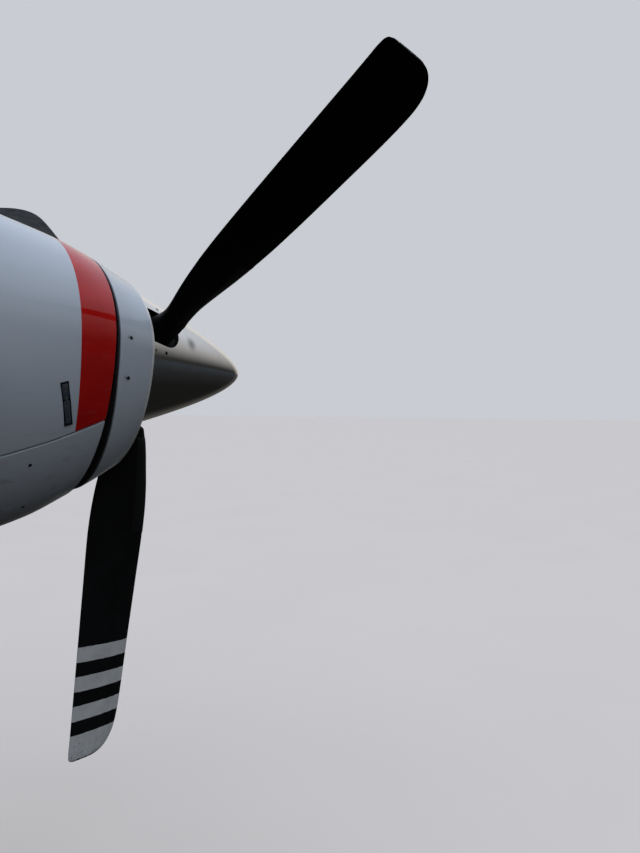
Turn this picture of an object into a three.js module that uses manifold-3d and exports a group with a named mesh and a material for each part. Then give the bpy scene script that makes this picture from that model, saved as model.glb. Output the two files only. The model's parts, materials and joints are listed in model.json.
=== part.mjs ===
// Turboprop engine nacelle with a three-bladed feathering propeller.
// Millimetres. +X is forward along the thrust line, +Y is to port, +Z is up.
// The origin lies on the thrust line at the aft face of the firewall.
// A station is a distance back from the propeller plane, negative ahead of it.

import * as THREE from 'three';
import { mergeVertices } from 'three/addons/utils/BufferGeometryUtils.js';
import Module from 'manifold-3d';

const wasm = await Module();
wasm.setup();

// Driving dimensions
const HUB_X = 1950;              // propeller plane, forward of the firewall's aft face
const PROP_RADIUS = 1250;
const BLADE_COUNT = 3;
const FIRST_BLADE_ANGLE = 64.85; // turn about +X that takes an upright blade to the first blade's place
const FIT_GAP = 0.3;             // between fixed neighbours
const PANEL_GAP = 5;             // round each cowl door
const SKIN = 12;                 // cowl panel with its frames
const FAR = 1200;                // past every outline
const OVERRUN = 1;               // how far a cutter runs past the face that it cuts

const LIP_STATION = 83;
const COWL_STATION = 226;
const FIREWALL_PLATE = 6;
const FIREWALL_STATION = HUB_X - FIREWALL_PLATE;

// Nacelle sections. Columns: station, half width, height above the thrust line, depth below it,
// power of the outline above the thrust line (2 is an ellipse, more is squarer, less is more pointed)
const NACELLE_SECTIONS = [
  [LIP_STATION, 288, 244, 341, 1.78],
  [150, 308, 265, 384, 1.86],
  [COWL_STATION, 336, 287, 424, 1.98],
  [332, 366, 312, 478, 2.05],
  [468, 388, 335, 522, 2.05],
  [620, 405, 360, 550, 2.05],
  [800, 422, 360, 562, 2.05],
  [1100, 440, 360, 560, 2.05],
  [1500, 445, 360, 520, 2.05],
  [HUB_X, 445, 360, 455, 2.05],
];
const OUTLINE_POINTS = 40;
const BELLY_POWER = 2.05;        // power of the outline below the thrust line

// The cowl's split line between doors and lower cowl. Columns: station, height above the thrust line
const SPLIT_LINE = [[COWL_STATION, -203], [379, -265], [489, -302], [700, -345], [HUB_X, -345]];
// The lower cowl's panel that steps up round each exhaust stack
const EXHAUST_PANEL = { front: 560, rear: 885, top: 12 };

const NOSE_WALL = 12;            // front face of the nose ring, fore and aft
const SPINNER_BORE = 240;        // radius of the nose ring's opening for the spinner
const INTAKE = { halfWidth: 170, roof: -252, wall: 4, rear: 900 };
// Rear edge of the nose ring ahead of the cowls. Columns: height above the thrust line, distance ahead
const RING_SET_BACK = [[-424, 48], [-100, 19], [287, 8]];
const SEAL = { recess: 3, thickness: 9 };
const FRAME = { inset: 17.3, thickness: 5, front: 160, rear: 262, web: 4, opening: 236 };

const SPINNER = { rear: 88, radius: 235, nose: -418, wall: 4, bluntness: 0.886, taper: 0.62, rings: 11 };
const CUTOUT = { radius: 57, ahead: 10 }; // spinner opening round a blade shank, centred ahead of it
const BACKPLATE = { front: 66, rear: 72 };
const SHANK_RADIUS = 45;
const HUB = { radius: 88, halfLength: 62, armRadius: 62, armReach: 166 };
const BLADE_ROOT = 70;
const SHAFT = { radius: 55, rear: 200 };

// Engine case. Columns: station, radius
const ENGINE_PROFILE = [
  [178, 0], [178, 95], [300, 150], [520, 190], [560, 215], [770, 215], [820, 192],
  [1060, 205], [1110, 228], [1500, 228], [1560, 190], [1700, 170], [1700, 0],
];
const EXHAUST = { station: 650, height: -95, radius: 78, wall: 4, boss: 232 };
// Centre line of a stack. Columns: station, distance off centre
const EXHAUST_PATH = [[650, 340], [652, 455], [735, 520], [840, 560]];

const MOUNT_RING = { station: 1300, radius: 262, tube: 15 };
const STRUT_RADIUS = 13;
const ENGINE_PADS = [45, 135, 225, 315]; // degrees round the mount ring
const FIREWALL_PAD = { side: 265, height: 210, radius: 30, thickness: 12 };

const SPINE_HALF_WIDTH = 50;
const HINGE_STATIONS = [640, 1200, 1800];
const HINGE = { lift: 9.5, radius: 8, pin: 3.7, bore: 4.1, spineLength: 30, doorLength: 22, endGap: 0.5, web: 7 };
const LATCH_STATIONS = [354, 980, 1660];
const LATCH = { width: 22, length: 112, depth: 9, clear: 28, tilt: 19 };

const OIL_COOLER = { front: 1380, rear: 1540, halfWidth: 120, top: -330 };
const OIL_OUTLET = { front: 1600, rear: 1800, halfWidth: 120 };

// Blade. Columns: radius, leading edge ahead, trailing edge behind, camber height, face depth,
// fullness of the leading edge
const BLADE_SECTIONS = [
  [BLADE_ROOT + FIT_GAP, SHANK_RADIUS, SHANK_RADIUS, SHANK_RADIUS, SHANK_RADIUS, 0],
  [196, SHANK_RADIUS, SHANK_RADIUS, SHANK_RADIUS, SHANK_RADIUS, 0],
  [208, 59, 46, 42, 40, 0.05],
  [230, 64, 46, 38, 36, 0.08],
  [262, 70, 50, 32, 26, 0.15],
  [330, 78, 60, 26, 16, 0.22],
  [400, 86, 73, 23, 10, 0.3],
  [480, 91, 83, 20.5, 6, 0.33],
  [560, 92, 88.5, 18.5, 4, 0.35],
  [725, 88.5, 92, 15, 3, 0.35],
  [900, 83, 95, 11.5, 3, 0.35],
  [1075, 77.5, 98, 9, 2.5, 0.3],
  [1150, 71.5, 99.5, 7.5, 2.5, 0.3],
  [1188, 63, 100.5, 7, 2.5, 0.3],
  [1217, 48.5, 101.5, 6.5, 2.5, 0.3],
  [1235, 32, 100.5, 6, 2.5, 0.3],
  [1245, 15.5, 96, 5, 2.5, 0.2],
  [PROP_RADIUS, -2, 84, 4, 2.5, 0.2],
];
const BLADE_SECTION_POINTS = 16;
// Feathered blade. Columns: radius, angle between the chord and the propeller plane in degrees
const BLADE_TWIST = [
  [250, 112], [300, 110], [350, 106], [420, 101.3], [520, 96], [650, 90.3], [800, 86], [1000, 81.6],
  [PROP_RADIUS, 77],
];

// Sides of round bodies
const SIDES = { spinner: 32, engine: 24, mountRing: 24, boss: 20, small: 12, pin: 8 };

const { degToRad, lerp, clamp } = THREE.MathUtils;
const at = (station) => HUB_X - station;

const finish = (color, roughness, metalness) =>
  new THREE.MeshStandardMaterial({ color, roughness, metalness });
const WHITE_PAINT = finish(0xe4e7ea, 0.25, 0.0);
const RUBBER = finish(0x1b1c1d, 0.8, 0.0);
const BLADE_PAINT = finish(0x0c0c0d, 0.6, 0.1);
const SPINNER_METAL = finish(0xb9bbbd, 0.22, 1.0);
const STEEL = finish(0x74777a, 0.45, 0.9);
const ENGINE_CASE = finish(0x6b6f70, 0.55, 0.6);
const HEATED_STEEL = finish(0x6d5a4b, 0.45, 0.9);
const PRIMER = finish(0x7f8a62, 0.7, 0.0);

function solidOf(geometry) {
  const bare = geometry.clone();
  bare.deleteAttribute('normal');
  bare.deleteAttribute('uv');
  const merged = mergeVertices(bare, 1e-4);
  const vertProperties = new Float32Array(merged.attributes.position.array);
  const triVerts = new Uint32Array(merged.index.array);
  return new wasm.Manifold(new wasm.Mesh({ numProp: 3, vertProperties, triVerts }));
}

function meshOf(name, solid, material) {
  const { vertProperties, triVerts } = solid.getMesh();
  const geometry = new THREE.BufferGeometry();
  geometry.setAttribute('position', new THREE.Float32BufferAttribute(vertProperties, 3));
  geometry.setIndex(new THREE.Uint32BufferAttribute(triVerts, 1));
  const mesh = new THREE.Mesh(geometry, material);
  mesh.name = name;
  return mesh;
}

const unite = (...solids) => solids.reduce((sum, solid) => sum.add(solid));

// A box between two stations, two places across and two heights
function block(front, rear, y0, y1, z0, z1) {
  const geometry = new THREE.BoxGeometry(rear - front, y1 - y0, z1 - z0);
  return solidOf(geometry.translate(at((front + rear) / 2), (y0 + y1) / 2, (z0 + z1) / 2));
}

// A round bar between two points
function bar(from, to, radius, sides) {
  const span = to.clone().sub(from);
  const geometry = new THREE.CylinderGeometry(radius, radius, span.length(), sides);
  const up = new THREE.Vector3(0, 1, 0);
  geometry.applyQuaternion(new THREE.Quaternion().setFromUnitVectors(up, span.normalize()));
  const middle = from.clone().lerp(to, 0.5);
  return solidOf(geometry.translate(middle.x, middle.y, middle.z));
}

// A bar along the thrust line's direction, between two stations, off the thrust line by y and z
function longBar(front, rear, y, z, radius, sides) {
  return bar(new THREE.Vector3(at(rear), y, z), new THREE.Vector3(at(front), y, z), radius, sides);
}

// A round body on the thrust line. Columns of the profile, in either order: station, radius
function turned(profile, sides = SIDES.spinner) {
  const points = profile.map(([station, radius]) => new THREE.Vector2(radius, -station));
  if (THREE.ShapeUtils.area(points) < 0) points.reverse();
  const geometry = new THREE.LatheGeometry(points, sides);
  return solidOf(geometry.rotateZ(-Math.PI / 2).translate(HUB_X, 0, 0));
}

// A closed body through rings of equal point counts. Each ring runs anticlockwise
// when it is looked at from beyond the last ring.
function loft(rings) {
  const count = rings[0].length;
  const index = [];
  for (let ring = 0; ring < rings.length - 1; ring += 1) {
    for (let i = 0; i < count; i += 1) {
      const a = ring * count + i;
      const b = ring * count + ((i + 1) % count);
      index.push(a, b, a + count, b, b + count, a + count);
    }
  }
  const last = (rings.length - 1) * count;
  for (let i = 1; i < count - 1; i += 1) {
    index.push(0, i + 1, i, last, last + i, last + i + 1);
  }
  const positions = rings.flat().flatMap((point) => point.toArray());
  const geometry = new THREE.BufferGeometry();
  geometry.setAttribute('position', new THREE.Float32BufferAttribute(positions, 3));
  geometry.setIndex(index);
  return solidOf(geometry);
}

// The value at a key in rows of [key, ...values], in straight steps from row to row
function rowAt(rows, key) {
  let row = 0;
  while (row < rows.length - 2 && rows[row + 1][0] < key) row += 1;
  const share = (key - rows[row][0]) / (rows[row + 1][0] - rows[row][0]);
  return rows[row].map((value, column) => lerp(value, rows[row + 1][column], share));
}

// The nacelle's outline at a station, drawn inward by an inset
function outline(station, inset = 0, x = at(station)) {
  const [, width, height, depth, crownPower] = rowAt(NACELLE_SECTIONS, station);
  return Array.from({ length: OUTLINE_POINTS }, (_, i) => {
    const angle = (2 * Math.PI * i) / OUTLINE_POINTS;
    const [side, rise] = [Math.cos(angle), Math.sin(angle)];
    const reach = (rise >= 0 ? height : depth) - inset;
    const power = 2 / (rise >= 0 ? crownPower : BELLY_POWER);
    const y = Math.sign(side) * (width - inset) * Math.abs(side) ** power;
    const z = Math.sign(rise) * reach * Math.abs(rise) ** power;
    return new THREE.Vector3(x, y, z);
  });
}

// The space inside the nacelle's outline between two stations; cut ends run past it by an overrun
function nacelleBody(front, rear, inset = 0, overrun = 0) {
  const between = NACELLE_SECTIONS.map(([station]) => station).filter((s) => s > front && s < rear);
  const rings = [rear, ...between.reverse(), front].map((station) => outline(station, inset));
  if (overrun > 0) {
    rings.unshift(outline(rear, inset, at(rear) - overrun));
    rings.push(outline(front, inset, at(front) + overrun));
  }
  return loft(rings);
}

function nacelleShell(front, rear, inset, thickness) {
  const hollow = nacelleBody(front, rear, inset + thickness, OVERRUN);
  return nacelleBody(front, rear, inset).subtract(hollow);
}

// A prism across the nacelle whose side view has the corners [station, height], in either order
function sidePrism(corners, y0 = -FAR, y1 = FAR) {
  const shape = new THREE.Shape(corners.map(([station, height]) => new THREE.Vector2(at(station), height)));
  const geometry = new THREE.ExtrudeGeometry(shape, { depth: y1 - y0, bevelEnabled: false });
  return solidOf(geometry.rotateX(Math.PI / 2).translate(0, y1, 0));
}

// The split line with its step up round the exhaust panel, moved off its line by half a panel gap
function splitEdge(side) {
  const shift = (side * PANEL_GAP) / 2;
  const front = EXHAUST_PANEL.front - shift;
  const rear = EXHAUST_PANEL.rear + shift;
  const heightAt = (station) => rowAt(SPLIT_LINE, station)[1];
  const ahead = SPLIT_LINE.filter(([station]) => station < front);
  const behind = SPLIT_LINE.filter(([station]) => station > rear);
  const step = [[front, heightAt(front)], [front, EXHAUST_PANEL.top], [rear, EXHAUST_PANEL.top],
    [rear, heightAt(rear)]];
  return [[0, ahead[0][1]], ...ahead, ...step, ...behind]
    .map(([station, height]) => [station, height + shift]);
}

const aboveSplit = (y0, y1) => sidePrism([...splitEdge(1), [HUB_X, FAR], [0, FAR]], y0, y1);
const belowSplit = () => sidePrism([...splitEdge(-1), [HUB_X, -FAR], [0, -FAR]]);

// Height of the nacelle's skin at a station and a distance off centre; side is 1 above, -1 below
function skinHeight(station, off, side = 1) {
  const [, width, height, depth, crownPower] = rowAt(NACELLE_SECTIONS, station);
  const [reach, power] = side > 0 ? [height, crownPower] : [-depth, BELLY_POWER];
  return reach * (1 - (Math.abs(off) / width) ** power) ** (1 / power);
}

// Distance off centre of the nacelle's skin at a station and a height
function skinSide(station, height) {
  const [, width, top, depth, crownPower] = rowAt(NACELLE_SECTIONS, station);
  const [reach, power] = height >= 0 ? [top, crownPower] : [depth, BELLY_POWER];
  return width * (1 - (Math.abs(height) / reach) ** power) ** (1 / power);
}

// Nose ring, seal and the frame that carries them
function behindRing(clearance) {
  const heights = [FAR, ...RING_SET_BACK.slice(1, -1).map(([height]) => height), -FAR];
  const front = heights.map((height) => [COWL_STATION - rowAt(RING_SET_BACK, height)[1] + clearance, height]);
  return sidePrism([...front, [HUB_X, -FAR], [HUB_X, FAR]]);
}

function noseRing() {
  const wall = block(0, LIP_STATION + NOSE_WALL, -FAR, FAR, -FAR, FAR);
  const hollow = nacelleBody(LIP_STATION + NOSE_WALL, COWL_STATION, SKIN, OVERRUN).subtract(wall);
  const skin = nacelleBody(LIP_STATION, COWL_STATION).subtract(hollow);
  const bore = turned([[0, 0], [0, SPINNER_BORE], [LIP_STATION + NOSE_WALL + OVERRUN, SPINNER_BORE],
    [LIP_STATION + NOSE_WALL + OVERRUN, 0]]);
  const mouth = nacelleBody(LIP_STATION, LIP_STATION + NOSE_WALL, SKIN, OVERRUN)
    .intersect(block(0, COWL_STATION, -INTAKE.halfWidth, INTAKE.halfWidth, -FAR, INTAKE.roof));
  return skin.subtract(bore).subtract(mouth).subtract(behindRing(0));
}

function noseSeal() {
  const band = nacelleShell(LIP_STATION + NOSE_WALL, COWL_STATION - PANEL_GAP, SEAL.recess, SEAL.thickness);
  return band.intersect(behindRing(FIT_GAP));
}

function noseFrame() {
  const sleeve = nacelleShell(FRAME.front, FRAME.rear, FRAME.inset, FRAME.thickness);
  const landing = nacelleShell(FRAME.front, COWL_STATION - PANEL_GAP, SKIN + FIT_GAP,
    FRAME.inset + 1 - SKIN - FIT_GAP);
  const web = nacelleBody(COWL_STATION, COWL_STATION + FRAME.web, FRAME.inset + 1)
    .subtract(turned([[0, 0], [0, FRAME.opening], [HUB_X, FRAME.opening], [HUB_X, 0]]));
  const ductSide = INTAKE.halfWidth + FIT_GAP;
  const duct = block(0, HUB_X, -ductSide, ductSide, -FAR, INTAKE.roof + INTAKE.wall + FIT_GAP);
  return unite(sleeve, landing, web).subtract(duct);
}

// Cowls and doors
const cowlShell = nacelleShell(COWL_STATION, FIREWALL_STATION - FIT_GAP, 0, SKIN);

const doorEdge = SPINE_HALF_WIDTH + PANEL_GAP;
const hingeSide = SPINE_HALF_WIDTH + PANEL_GAP / 2;
const hingeHeight = skinHeight(HINGE_STATIONS[1], hingeSide) + HINGE.lift;

// A knuckle and the web that joins it to the skin on its own side of the gap
function knuckle(front, rear, hand, onDoor) {
  const barrel = longBar(front, rear, hand * hingeSide, hingeHeight, HINGE.radius, SIDES.small);
  const inner = hingeSide - HINGE.web;
  const outer = hingeSide + HINGE.web;
  const [near, far] = onDoor ? [doorEdge, doorEdge + 2 * HINGE.web] : [inner - HINGE.web, SPINE_HALF_WIDTH];
  const root = skinHeight(rear, far) - SKIN / 2;
  const foot = block(front, rear, Math.min(hand * near, hand * far), Math.max(hand * near, hand * far),
    root, hingeHeight);
  const reach = onDoor ? [hingeSide, outer] : [inner, hingeSide];
  const arm = block(front, rear, Math.min(hand * reach[0], hand * reach[1]),
    Math.max(hand * reach[0], hand * reach[1]), hingeHeight - HINGE.radius / 2, hingeHeight + HINGE.radius / 2);
  return unite(barrel, foot, arm);
}

function cowlSpine() {
  let spine = cowlShell.intersect(block(0, HUB_X, -SPINE_HALF_WIDTH, SPINE_HALF_WIDTH, 0, FAR));
  for (const station of HINGE_STATIONS) {
    for (const hand of [-1, 1]) {
      const front = station - HINGE.spineLength / 2;
      const rear = station + HINGE.spineLength / 2;
      const pinReach = HINGE.endGap + HINGE.doorLength;
      const pin = longBar(front - pinReach, rear + pinReach, hand * hingeSide, hingeHeight, HINGE.pin, SIDES.pin);
      spine = unite(spine, knuckle(front, rear, hand, false), pin);
    }
  }
  return spine;
}

// A latch lies flush in the door, square to the split line
function latchBody(station, hand, grow) {
  const height = rowAt(SPLIT_LINE, station)[1] + LATCH.clear + LATCH.length / 2;
  const side = skinSide(station, height);
  const fore = skinSide(station - 1, height) - skinSide(station + 1, height);
  const rise = skinSide(station, height - 1) - skinSide(station, height + 1);
  const normal = new THREE.Vector3(-fore / 2, hand, (rise / 2)).normalize();
  const along = new THREE.Vector3(Math.sin(degToRad(LATCH.tilt)), 0, -Math.cos(degToRad(LATCH.tilt)));
  along.addScaledVector(normal, -along.dot(normal)).normalize();
  const geometry = new THREE.BoxGeometry(LATCH.width + grow, LATCH.length + grow, LATCH.depth + 2 * grow);
  const across = along.clone().cross(normal);
  geometry.applyMatrix4(new THREE.Matrix4().makeBasis(across, along, normal));
  const centre = new THREE.Vector3(at(station), hand * side, height).addScaledVector(normal, -LATCH.depth / 2);
  return solidOf(geometry.translate(centre.x, centre.y, centre.z));
}

function cowlDoor(hand) {
  const reach = [hand * doorEdge, hand * FAR].sort((a, b) => a - b);
  const pockets = LATCH_STATIONS.map((station) => latchBody(station, hand, 2 * FIT_GAP));
  let door = cowlShell.intersect(aboveSplit(...reach)).subtract(unite(...pockets));
  for (const station of HINGE_STATIONS) {
    const start = HINGE.spineLength / 2 + HINGE.endGap;
    const boreReach = start + HINGE.doorLength + OVERRUN;
    const bore = longBar(station - boreReach, station + boreReach, hand * hingeSide, hingeHeight,
      HINGE.bore, SIDES.pin);
    const ahead = knuckle(station - start - HINGE.doorLength, station - start, hand, true);
    const behind = knuckle(station + start, station + start + HINGE.doorLength, hand, true);
    door = unite(door, unite(ahead, behind).subtract(bore));
  }
  return door;
}

// A round body swept along a stack's centre line, with or without a bore
function stackSweep(hand, radius, bore = 0) {
  const points = EXHAUST_PATH.map(([station, side]) => new THREE.Vector3(at(station), hand * side, EXHAUST.height));
  const root = points[0].clone().setY(hand * (EXHAUST.boss + FIT_GAP));
  const path = new THREE.CurvePath();
  path.add(new THREE.LineCurve3(root, points[0]));
  path.add(new THREE.CubicBezierCurve3(...points));
  const section = new THREE.Shape().absarc(0, 0, radius, 0, 2 * Math.PI);
  if (bore > 0) section.holes.push(new THREE.Path().absarc(0, 0, bore, 0, 2 * Math.PI));
  return solidOf(new THREE.ExtrudeGeometry(section, { extrudePath: path, steps: 8, curveSegments: 8 }));
}

const exhaustStack = (hand) => stackSweep(hand, EXHAUST.radius, EXHAUST.radius - EXHAUST.wall);

function lowerCowl() {
  const holes = [-1, 1].map((hand) => stackSweep(hand, EXHAUST.radius + PANEL_GAP));
  const cowl = cowlShell.intersect(belowSplit()).subtract(unite(...holes));
  return cowl.subtract(block(OIL_OUTLET.front, OIL_OUTLET.rear, -OIL_OUTLET.halfWidth,
    OIL_OUTLET.halfWidth, -FAR, OIL_COOLER.top));
}

function intakeDuct() {
  const front = LIP_STATION + NOSE_WALL + FIT_GAP;
  const outer = block(front, INTAKE.rear, -INTAKE.halfWidth, INTAKE.halfWidth, -FAR, INTAKE.roof + INTAKE.wall);
  const inner = block(front - OVERRUN, INTAKE.rear - INTAKE.wall, INTAKE.wall - INTAKE.halfWidth,
    INTAKE.halfWidth - INTAKE.wall, -FAR - OVERRUN, INTAKE.roof);
  return outer.subtract(inner).intersect(nacelleBody(front, FIREWALL_STATION, SKIN + FIT_GAP));
}

function oilCooler() {
  const core = block(OIL_COOLER.front, OIL_COOLER.rear, -OIL_COOLER.halfWidth, OIL_COOLER.halfWidth,
    -FAR, OIL_COOLER.top);
  return core.intersect(nacelleBody(COWL_STATION, FIREWALL_STATION, SKIN + FIT_GAP));
}

// Engine, exhaust and mount
const onCircle = (station, radius, degrees) => new THREE.Vector3(at(station),
  radius * Math.cos(degToRad(degrees)), radius * Math.sin(degToRad(degrees)));

function mountRing(grow) {
  const ring = new THREE.TorusGeometry(MOUNT_RING.radius, MOUNT_RING.tube + grow, SIDES.pin, SIDES.mountRing);
  return solidOf(ring.rotateY(Math.PI / 2).translate(at(MOUNT_RING.station), 0, 0));
}

function engineBlock() {
  let engine = turned(ENGINE_PROFILE, SIDES.engine);
  for (const hand of [-1, 1]) {
    const root = new THREE.Vector3(at(EXHAUST.station), hand * SHAFT.radius, EXHAUST.height);
    const tip = root.clone().setY(hand * EXHAUST.boss);
    engine = engine.add(bar(root, tip, EXHAUST.radius, SIDES.boss));
  }
  for (const degrees of ENGINE_PADS) {
    const from = onCircle(MOUNT_RING.station, SHAFT.radius, degrees);
    const to = onCircle(MOUNT_RING.station, MOUNT_RING.radius - MOUNT_RING.tube / 2, degrees);
    engine = engine.add(bar(from, to, 2 * MOUNT_RING.tube, SIDES.small));
  }
  const bearing = turned([[0, 0], [0, SHAFT.radius + FIT_GAP], [SHAFT.rear + FIT_GAP, SHAFT.radius + FIT_GAP],
    [SHAFT.rear + FIT_GAP, 0]], SIDES.engine);
  return engine.subtract(unite(bearing, mountRing(FIT_GAP)));
}

function engineMount() {
  let mount = mountRing(0);
  const padFace = FIREWALL_STATION - FIT_GAP;
  for (const y of [-FIREWALL_PAD.side, FIREWALL_PAD.side]) {
    for (const z of [-FIREWALL_PAD.height, FIREWALL_PAD.height]) {
      const pad = longBar(padFace - FIREWALL_PAD.thickness, padFace, y, z, FIREWALL_PAD.radius, SIDES.small);
      const foot = new THREE.Vector3(at(padFace - FIREWALL_PAD.thickness / 2), y, z);
      const besideRing = onCircle(MOUNT_RING.station, MOUNT_RING.radius, y > 0 ? 0 : 180);
      const overRing = onCircle(MOUNT_RING.station, MOUNT_RING.radius, z > 0 ? 90 : 270);
      const struts = [besideRing, overRing].map((end) => bar(end, foot, STRUT_RADIUS, SIDES.pin));
      mount = unite(mount, pad, ...struts);
    }
  }
  return mount;
}

function firewall() {
  return loft([outline(HUB_X, 0, 0), outline(HUB_X, 0, FIREWALL_PLATE)]);
}

// Propeller
function spinnerRadius(station, inset) {
  const share = clamp((SPINNER.rear - station) / (SPINNER.rear - SPINNER.nose - inset), 0, 1);
  return (SPINNER.radius - inset) * (1 - share ** SPINNER.bluntness) ** SPINNER.taper;
}

// The spinner's side from its rear rim to its nose, in closer steps towards the nose
function spinnerProfile(inset) {
  const length = SPINNER.rear - SPINNER.nose - inset;
  return Array.from({ length: SPINNER.rings + 1 }, (_, ring) => {
    const station = SPINNER.rear - length * Math.sin((Math.PI / 2) * (ring / SPINNER.rings));
    return [station, spinnerRadius(station, inset)];
  });
}

function spinnerDome() {
  const outer = turned([[SPINNER.rear, 0], ...spinnerProfile(0)]);
  const inner = turned([[SPINNER.rear + OVERRUN, 0], [SPINNER.rear + OVERRUN, SPINNER.radius - SPINNER.wall],
    ...spinnerProfile(SPINNER.wall)]);
  let dome = outer.subtract(inner);
  for (let blade = 0; blade < BLADE_COUNT; blade += 1) {
    const turn = FIRST_BLADE_ANGLE + (360 / BLADE_COUNT) * blade;
    const centre = new THREE.Vector3(at(-CUTOUT.ahead), 0, 0);
    const round = bar(centre, centre.clone().setZ(FAR), CUTOUT.radius, SIDES.boss);
    const slot = block(-CUTOUT.ahead, SPINNER.rear + OVERRUN, -CUTOUT.radius, CUTOUT.radius, 0, FAR);
    dome = dome.subtract(unite(round, slot).rotate([turn, 0, 0]));
  }
  return dome;
}

function spinnerBackplate() {
  const inside = spinnerProfile(SPINNER.wall).reverse();
  const [front, rear] = [BACKPLATE.front, BACKPLATE.rear].map((s) => rowAt(inside, s)[1] - FIT_GAP);
  const bore = HUB.radius + FIT_GAP;
  return turned([[BACKPLATE.front, bore], [BACKPLATE.front, front], [BACKPLATE.rear, rear],
    [BACKPLATE.rear, bore], [BACKPLATE.front, bore]]);
}

function propellerHub() {
  const centre = new THREE.Vector3(HUB_X, 0, 0);
  let hub = turned([[-HUB.halfLength, 0], [-HUB.halfLength, HUB.radius], [BACKPLATE.rear, HUB.radius],
    [BACKPLATE.rear, 0]]);
  const arms = [];
  const sockets = [];
  for (let blade = 0; blade < BLADE_COUNT; blade += 1) {
    const turn = [FIRST_BLADE_ANGLE + (360 / BLADE_COUNT) * blade, 0, 0];
    arms.push(bar(centre, centre.clone().setZ(HUB.armReach), HUB.armRadius, SIDES.boss).rotate(turn));
    sockets.push(bar(centre.clone().setZ(BLADE_ROOT), centre.clone().setZ(HUB.armReach + OVERRUN),
      SHANK_RADIUS + 2 * FIT_GAP, SIDES.engine).rotate(turn));
  }
  hub = unite(hub, ...arms);
  return hub.subtract(unite(...sockets));
}

function propellerShaft() {
  return turned([[BACKPLATE.rear + FIT_GAP, 0], [BACKPLATE.rear + FIT_GAP, SHAFT.radius],
    [SHAFT.rear, SHAFT.radius], [SHAFT.rear, 0]], SIDES.engine);
}

// An upright blade, feathered. Its radius runs along +Z and its camber faces to port.
function bladeRings() {
  return BLADE_SECTIONS.map(([radius, ahead, behind, camber, face, fullness]) => {
    const angle = degToRad(rowAt(BLADE_TWIST, Math.max(radius, BLADE_TWIST[0][0]))[1]);
    return Array.from({ length: BLADE_SECTION_POINTS }, (_, i) => {
      const turn = (2 * Math.PI * i) / BLADE_SECTION_POINTS;
      const chord = (ahead - behind) / 2 + ((ahead + behind) / 2) * Math.cos(turn);
      const thickness = (turn < Math.PI ? camber : face) * Math.sin(turn) * (1 + fullness * Math.cos(turn));
      const x = chord * Math.sin(angle) + thickness * Math.cos(angle);
      const y = thickness * Math.sin(angle) - chord * Math.cos(angle);
      return new THREE.Vector3(x, y, radius);
    });
  });
}

const nacelle = new THREE.Group();
nacelle.add(
  meshOf('nose_ring', noseRing(), WHITE_PAINT),
  meshOf('nose_seal', noseSeal(), RUBBER),
  meshOf('nose_frame', noseFrame(), PRIMER),
  meshOf('cowl_spine', cowlSpine(), WHITE_PAINT),
  meshOf('cowl_lower', lowerCowl(), WHITE_PAINT),
  meshOf('intake_duct', intakeDuct(), PRIMER),
  meshOf('oil_cooler', oilCooler(), STEEL),
  meshOf('engine_block', engineBlock(), ENGINE_CASE),
  meshOf('exhaust_right', exhaustStack(-1), HEATED_STEEL),
  meshOf('exhaust_left', exhaustStack(1), HEATED_STEEL),
  meshOf('engine_mount', engineMount(), STEEL),
  meshOf('firewall', firewall(), STEEL),
);

const doors = new THREE.Group();
for (const [side, hand] of [['right', -1], ['left', 1]]) {
  doors.add(meshOf(`cowl_door_${side}`, cowlDoor(hand), WHITE_PAINT));
  LATCH_STATIONS.forEach((station, i) => {
    doors.add(meshOf(`latch_${side}_${i + 1}`, latchBody(station, hand, 0), STEEL));
  });
}

const propeller = new THREE.Group();
propeller.add(
  meshOf('spinner_dome', spinnerDome(), SPINNER_METAL),
  meshOf('spinner_backplate', spinnerBackplate(), STEEL),
  meshOf('propeller_hub', propellerHub(), STEEL),
  meshOf('propeller_shaft', propellerShaft(), STEEL),
);
const blade = loft(bladeRings());
for (let i = 0; i < BLADE_COUNT; i += 1) {
  const mesh = meshOf(`blade_${i + 1}`, blade, BLADE_PAINT);
  mesh.position.set(HUB_X, 0, 0);
  mesh.rotation.x = degToRad(FIRST_BLADE_ANGLE + (360 / BLADE_COUNT) * i);
  propeller.add(mesh);
}

const group = new THREE.Group();
group.add(nacelle, doors, propeller);

export default group;
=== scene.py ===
"""Looks of a turboprop engine nacelle and its three-bladed propeller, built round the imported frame.

Lengths in the tables are millimetres, as on a drawing. Meshes are metres, in the frame of the frame model:
+X forward along the thrust line, +Y to port, +Z up. A station is a distance back from the propeller plane.
"""

import json
import logging
import math
from collections.abc import Callable, Iterable, Sequence
from dataclasses import dataclass, field
from enum import Enum
from functools import partial

import bmesh
import bpy
import numpy as np
from mathutils import Matrix, Vector


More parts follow.
